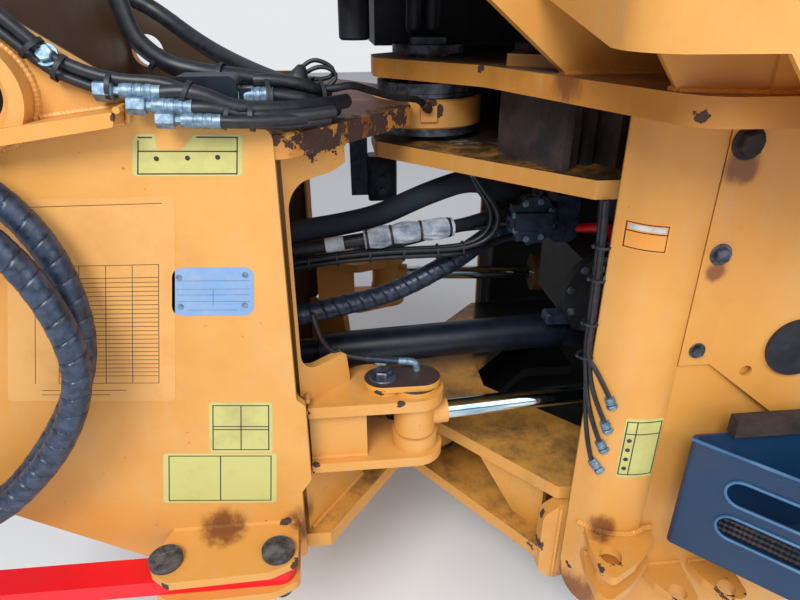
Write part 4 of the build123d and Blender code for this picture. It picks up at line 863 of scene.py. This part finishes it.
sign("type_plate", on_plate([(517, 1187), (376, 1182), (386, 1086), (532, 1093)]), steel_plate, grey_ink,
     [((0.06, 0.94), (0.27, 0.27)), ((0.06, 0.94), (0.44, 0.44)), ((0.06, 0.94), (0.56, 0.56)),
      ((0.06, 0.94), (0.70, 0.70)), ((0.50, 0.50), (0.44, 0.78)), ((0.20, 0.80), (0.88, 0.88))],
     "front_frame", 1.0, 18.0)
chart_lines = ruled(np.linspace(0.36, 0.86, 24), (0.16, 0.42, 0.58, 0.74), 0.30, 0.90)
chart_lines = [line for line in chart_lines if line[1] != (0.90, 0.90)] + [((0.30, 0.90), (0.90, 0.90))]
chart_lines += [((0.10, 0.92), (0.03, 0.03)), ((0.20, 0.70), (0.94, 0.94)), ((0.20, 0.60), (0.965, 0.965))]
sign("service_chart", on_plate([(757, 1315), (492, 1316), (555, 908), (859, 929)]), clear_film, ink,
     chart_lines, "front_frame", 1.1, 8.0)
sign("four_cell_sign", on_plate([(492, 899), (370, 890), (381, 765), (508, 776)]), yellow_film, ink,
     ruled((0.47, 0.53), (0.5,)), "front_frame")
sign("two_cell_sign", on_plate([(599, 781), (373, 762), (385, 628), (620, 650)]), yellow_film, ink,
     ruled((), (0.5,), 0.05, 0.95), "front_frame")
nose_place = on_wall(-281, -348, 1262, 1208)
sign("nose_sign", nose_place, orange_film, ink, ruled((0.36,), (), 0.07, 0.93), "rear_frame", 2.0, 4.0)
header = [print_line(nose_place, (0.14, 0.86), (0.15, 0.27), 2.0, FILM_THICKNESS)]
surfaces("nose_sign_header", header, pale_label, "rear_frame")
wall_place = on_wall(-336, -414, 853, 703)
sign("wall_sign", wall_place, yellow_film, ink, ruled((0.25,), (0.30,), 0.05, 0.95), "rear_frame", 2.4, 5.0)
wall_dots = [turned([(0, 0), (5, 0), (5, 0.2), (0, 0.2)], wall_place(0.17, share, 0.6), (0.3, 0.95, 0), 16)
             for share in (0.36, 0.52, 0.68, 0.84)]
surfaces("wall_sign_dots", wall_dots, ink, "rear_frame")
rivets = [turned([(0, 0), (5.5, 0), (4.8, 1.8), (2.0, 2.6), (0, 2.7)], (x, FILM_FACE, z), (0, 1, 0), 14)
          for x, z in ((508, 1168), (393, 1168), (514, 1111), (400, 1108))]
surfaces("type_plate_rivets", rivets, zinc, "front_frame")

# The rear covers close the openings in the walls: a ribbed plastic cap on the left one,
# and thin brake and grease lines run down the wall's nose to four plated elbows.
CAP_MIDDLE, RIB_START, RIB_END, RIB_HALF_WIDTH = np.array((-645, 1009)), 26, 46, 4
cap_ribs = []
for spoke in np.linspace(0, 2 * np.pi, 7)[:-1]:
    out = np.array((math.cos(spoke), math.sin(spoke)))
    side = RIB_HALF_WIDTH * np.array((-math.sin(spoke), math.cos(spoke)))
    start, end = CAP_MIDDLE + RIB_START * out, CAP_MIDDLE + RIB_END * out
    cap_ribs.append(bevelled([start - side, end - side, end + side, start + side], 578, 583, 1, "Y"))
surfaces("cap_ribs", cap_ribs, black_plastic, "rear_frame")
NOSE_ENDS = ((-299, 898), (-298, 838), (-296, 787), (-290, 732))
nose_lines, elbows = [], []
for index, (x, z) in enumerate(NOSE_ENDS):
    front, side = -257 - 7 * (index % 2), 508 - 6 * index
    nose_lines.append(hose_run([
        (front + 2, side - 14, 1284), (front, side - 6, 1203), (front - 1, side - 2, 1119),
        (front - 2, side, 1031), (front - 3, side + 1, 965), (-276, wall_face(-276) + 6, z + 50),
        (x, wall_face(x) + 7, z)], 5, 10))
    elbows += swaged((-309, wall_face(-309) + 3, z - 24), (x - 1, wall_face(x - 1) + 6, z - 2), 8)
surfaces("nose_lines", nose_lines, rubber, "rear_frame")
surfaces("nose_elbows", elbows, zinc, "rear_frame")
ties = [grid for z in (1200, 1134, 1040, 965) for grid in strap((-262, 497, z), (0, 0, 1), 16)]
surfaces("nose_ties", ties, black_plastic, "rear_frame")
surfaces("nose_clip", bolt((-283, 505, 1134), (0.6, 0.7, 0), 9), zinc, "rear_frame")

# The rear pump's round cover is held by small bolts; a red plastic handle hangs behind
# it, and the gearbox cover beside them is flecked where its paint has gone.
PUMP_MIDDLE, GEARBOX_MIDDLE = (-262, 1116), (-445, 938)
pump_bolts = [grid for x, z in circle(PUMP_MIDDLE, 50, round_turns(8, 0.3))
              for grid in bolt((x, 96, z), (0, 1, 0), 6)]
surfaces("pump_bolts", pump_bolts, zinc, "rear_frame")
notches = [turned([(0, 0), (7, 0), (7, 22), (6, 23), (0, 23)], (x, 70, z), (0, 1, 0), 12)
           for x, z in circle(PUMP_MIDDLE, 60, round_turns(12, 0.1))]
surfaces("pump_rim", notches, pump_grey, "rear_frame")
handle, run = spaced(line_through([(-388, 66, 1082), (-420, 96, 1092), (-450, 104, 1096), (-472, 106, 1078),
                                   (-478, 106, 1050), (-470, 104, 1026)]), 4)
grip = tube(handle, 10.0 + 4.0 * np.sin(run / run[-1] * np.pi))
surfaces("red_handle", [grip], lock_red, "rear_frame")
box_bolts = [grid for x, z in circle(GEARBOX_MIDDLE, 98, round_turns(10, 0.2))
             for grid in bolt((x, 180, z), (0, 1, 0), 8)]
surfaces("gearbox_bolts", box_bolts, bare_steel, "rear_frame")
fleck_look = metal_look("bare_flecks", (0.20, 0.24, 0.28), (0.42, 0.46, 0.50), 0.6, 0.2, 60.0)
fleck_turns = (1.2, 1.7, 2.4, 2.9, 3.5, 4.2, 5.0)
flecks = [turned([(0, 0), (9 + 4 * math.sin(7 * turn), 0), (7, 1.2), (0, 1.4)], (x, 181, z), (0, 1, 0), 7)
          for turn, (x, z) in zip(fleck_turns, circle(GEARBOX_MIDDLE, 80, fleck_turns))]
surfaces("gearbox_flecks", flecks, fleck_look, "rear_frame")
side_outline = [(-392, 824), (-326, 824), (-320, 830), (-320, 850), (-326, 856), (-392, 856)]
side_block = bevelled(side_outline, 70, 112, 3, "Y")
surfaces("gearbox_side_block", [side_block], pump_grey, "rear_frame")

# The step is pressed from blue plate: both slots have raised lips, bright where boots
# rub them, and gritty bars cross the lower one.
worn_blue = film_look("worn_blue", (0.035, 0.12, 0.26), (0.09, 0.22, 0.38), 0.4)
SLANT = np.array((-0.7071, 0.7071, 0.0))
SLANT_OUT = np.array((0.7071, 0.7071, 0.0))
STEP_CORNER = np.array((-425.0, 622.0, 0.0))
SLOT_MIDDLE, SLOT_HALF_LENGTH = 210, 115


def on_step(run, height, lift):
    """A place on the step: so far along its slanted face, at a height, and lifted off it."""
    return STEP_CORNER + SLANT * run + SLANT_OUT * lift + (0, 0, height)


lips = []
for middle, radius in ((768, 29), (683, 27.5)):
    turns = np.linspace(-np.pi / 2, np.pi / 2, 13)
    rim = []
    for way in (1, -1):
        for turn in turns:
            reach = SLOT_HALF_LENGTH - radius + radius * math.cos(turn)
            rim.append(on_step(SLOT_MIDDLE + way * reach, middle + way * radius * math.sin(turn), 1))
    lips.append(tube(spaced(rim + rim[:2], 3)[0], 3.2, 10))
surfaces("step_lips", lips, worn_blue, "rear_frame")
tread_bars = []
for height in (670, 683, 696):
    bar_line, run = spaced([on_step(100, height, -4), on_step(320, height, -4)], 2.5)
    tread_bars.append(tube(bar_line, 3.4 + 0.9 * np.sign(np.sin(run * 2 * np.pi / 9)), 8))
surfaces("step_tread", tread_bars, rusty_plate, "rear_frame")
top_edge, run = spaced([on_step(16, 847, -1), on_step(350, 847, -1)], 4)
worn_edge = tube(top_edge, 3.0 + 0.3 * np.sin(run / 17), 8)
surfaces("step_edge", [worn_edge], worn_blue, "rear_frame")

# The lock bar's pins carry spring clips under their heads.
CLIP_ROUTE = ((-16, 575), (-4, 592), (16, 590), (22, 575), (6, 562), (-14, 560))
for x, z in ((604, 581), (378, 572)):
    clip, _ = spaced(line_through([(x + ahead, side, z) for ahead, side in CLIP_ROUTE]), 3)
    surfaces(f"pin_clip_{x}", [tube(clip, 2.2, 8)], zinc, "front_frame")


# The machine stands on a pale studio floor, in soft light from the left and above.
floor_look, shader = new_look("studio_floor", 0.9)
tone = mix(floor_look, noise(floor_look, 0.8, 3), (0.78, 0.79, 0.80), (0.83, 0.84, 0.85))
floor_look.node_tree.links.new(tone, shader.inputs["Base Color"])
floor_rings = [[(r * math.cos(a), r * math.sin(a), -0.85) for a in np.arange(64) * 2 * np.pi / 64]
               for r in (0.001, 4, 9, 16)]
floor_mesh = bpy.data.meshes.new("floor")
floor_points = np.array(floor_rings).reshape(-1, 3)
index = np.arange(256).reshape(4, 64)
after = np.roll(index, -1, axis=1)
floor_faces = np.stack([index[:-1], index[1:], after[1:], after[:-1]], axis=-1).reshape(-1, 4)
floor_mesh.from_pydata(floor_points.tolist(), [], floor_faces.tolist())
floor_mesh.materials.append(floor_look)
floor = bpy.data.objects.new("floor", floor_mesh)
bpy.context.collection.objects.link(floor)

world = bpy.data.worlds.new("studio")
bpy.context.scene.world = world
world.use_nodes = True
sky = world.node_tree.nodes["Background"]
rays = world.node_tree.nodes.new("ShaderNodeLightPath")
shades = world.node_tree.nodes.new("ShaderNodeMix")
shades.data_type = "RGBA"
shades.inputs[6].default_value = (0.40, 0.41, 0.44, 1)
shades.inputs[7].default_value = (0.80, 0.81, 0.83, 1)
world.node_tree.links.new(rays.outputs["Is Camera Ray"], shades.inputs[0])
world.node_tree.links.new(shades.outputs[2], sky.inputs["Color"])
sky.inputs["Strength"].default_value = 1.0
for name, power, size, place in (("key", 330, 2.5, (3.2, 4.5, 4.2)), ("fill", 120, 4.0, (-1.5, 4.0, 2.5))):
    data = bpy.data.lights.new(name, "AREA")
    data.energy = power
    data.size = size
    lamp = bpy.data.objects.new(name, data)
    lamp.location = place
    lamp.rotation_euler = (Vector((1.1, 0.2, 0.0)) - Vector(place)).to_track_quat("-Z", "Y").to_euler()
    bpy.context.collection.objects.link(lamp)

lens = bpy.data.cameras.new("camera")
lens.sensor_width = 36
lens.lens = 36 * 606 / 800
camera = bpy.data.objects.new("camera", lens)
camera.location = (1.369, 1.508, 0.750)
camera.rotation_euler = Vector((-0.0918, -0.895, -0.436)).to_track_quat("-Z", "Y").to_euler()
bpy.context.collection.objects.link(camera)
bpy.context.scene.camera = camera
bpy.context.scene.view_settings.view_transform = "Standard"
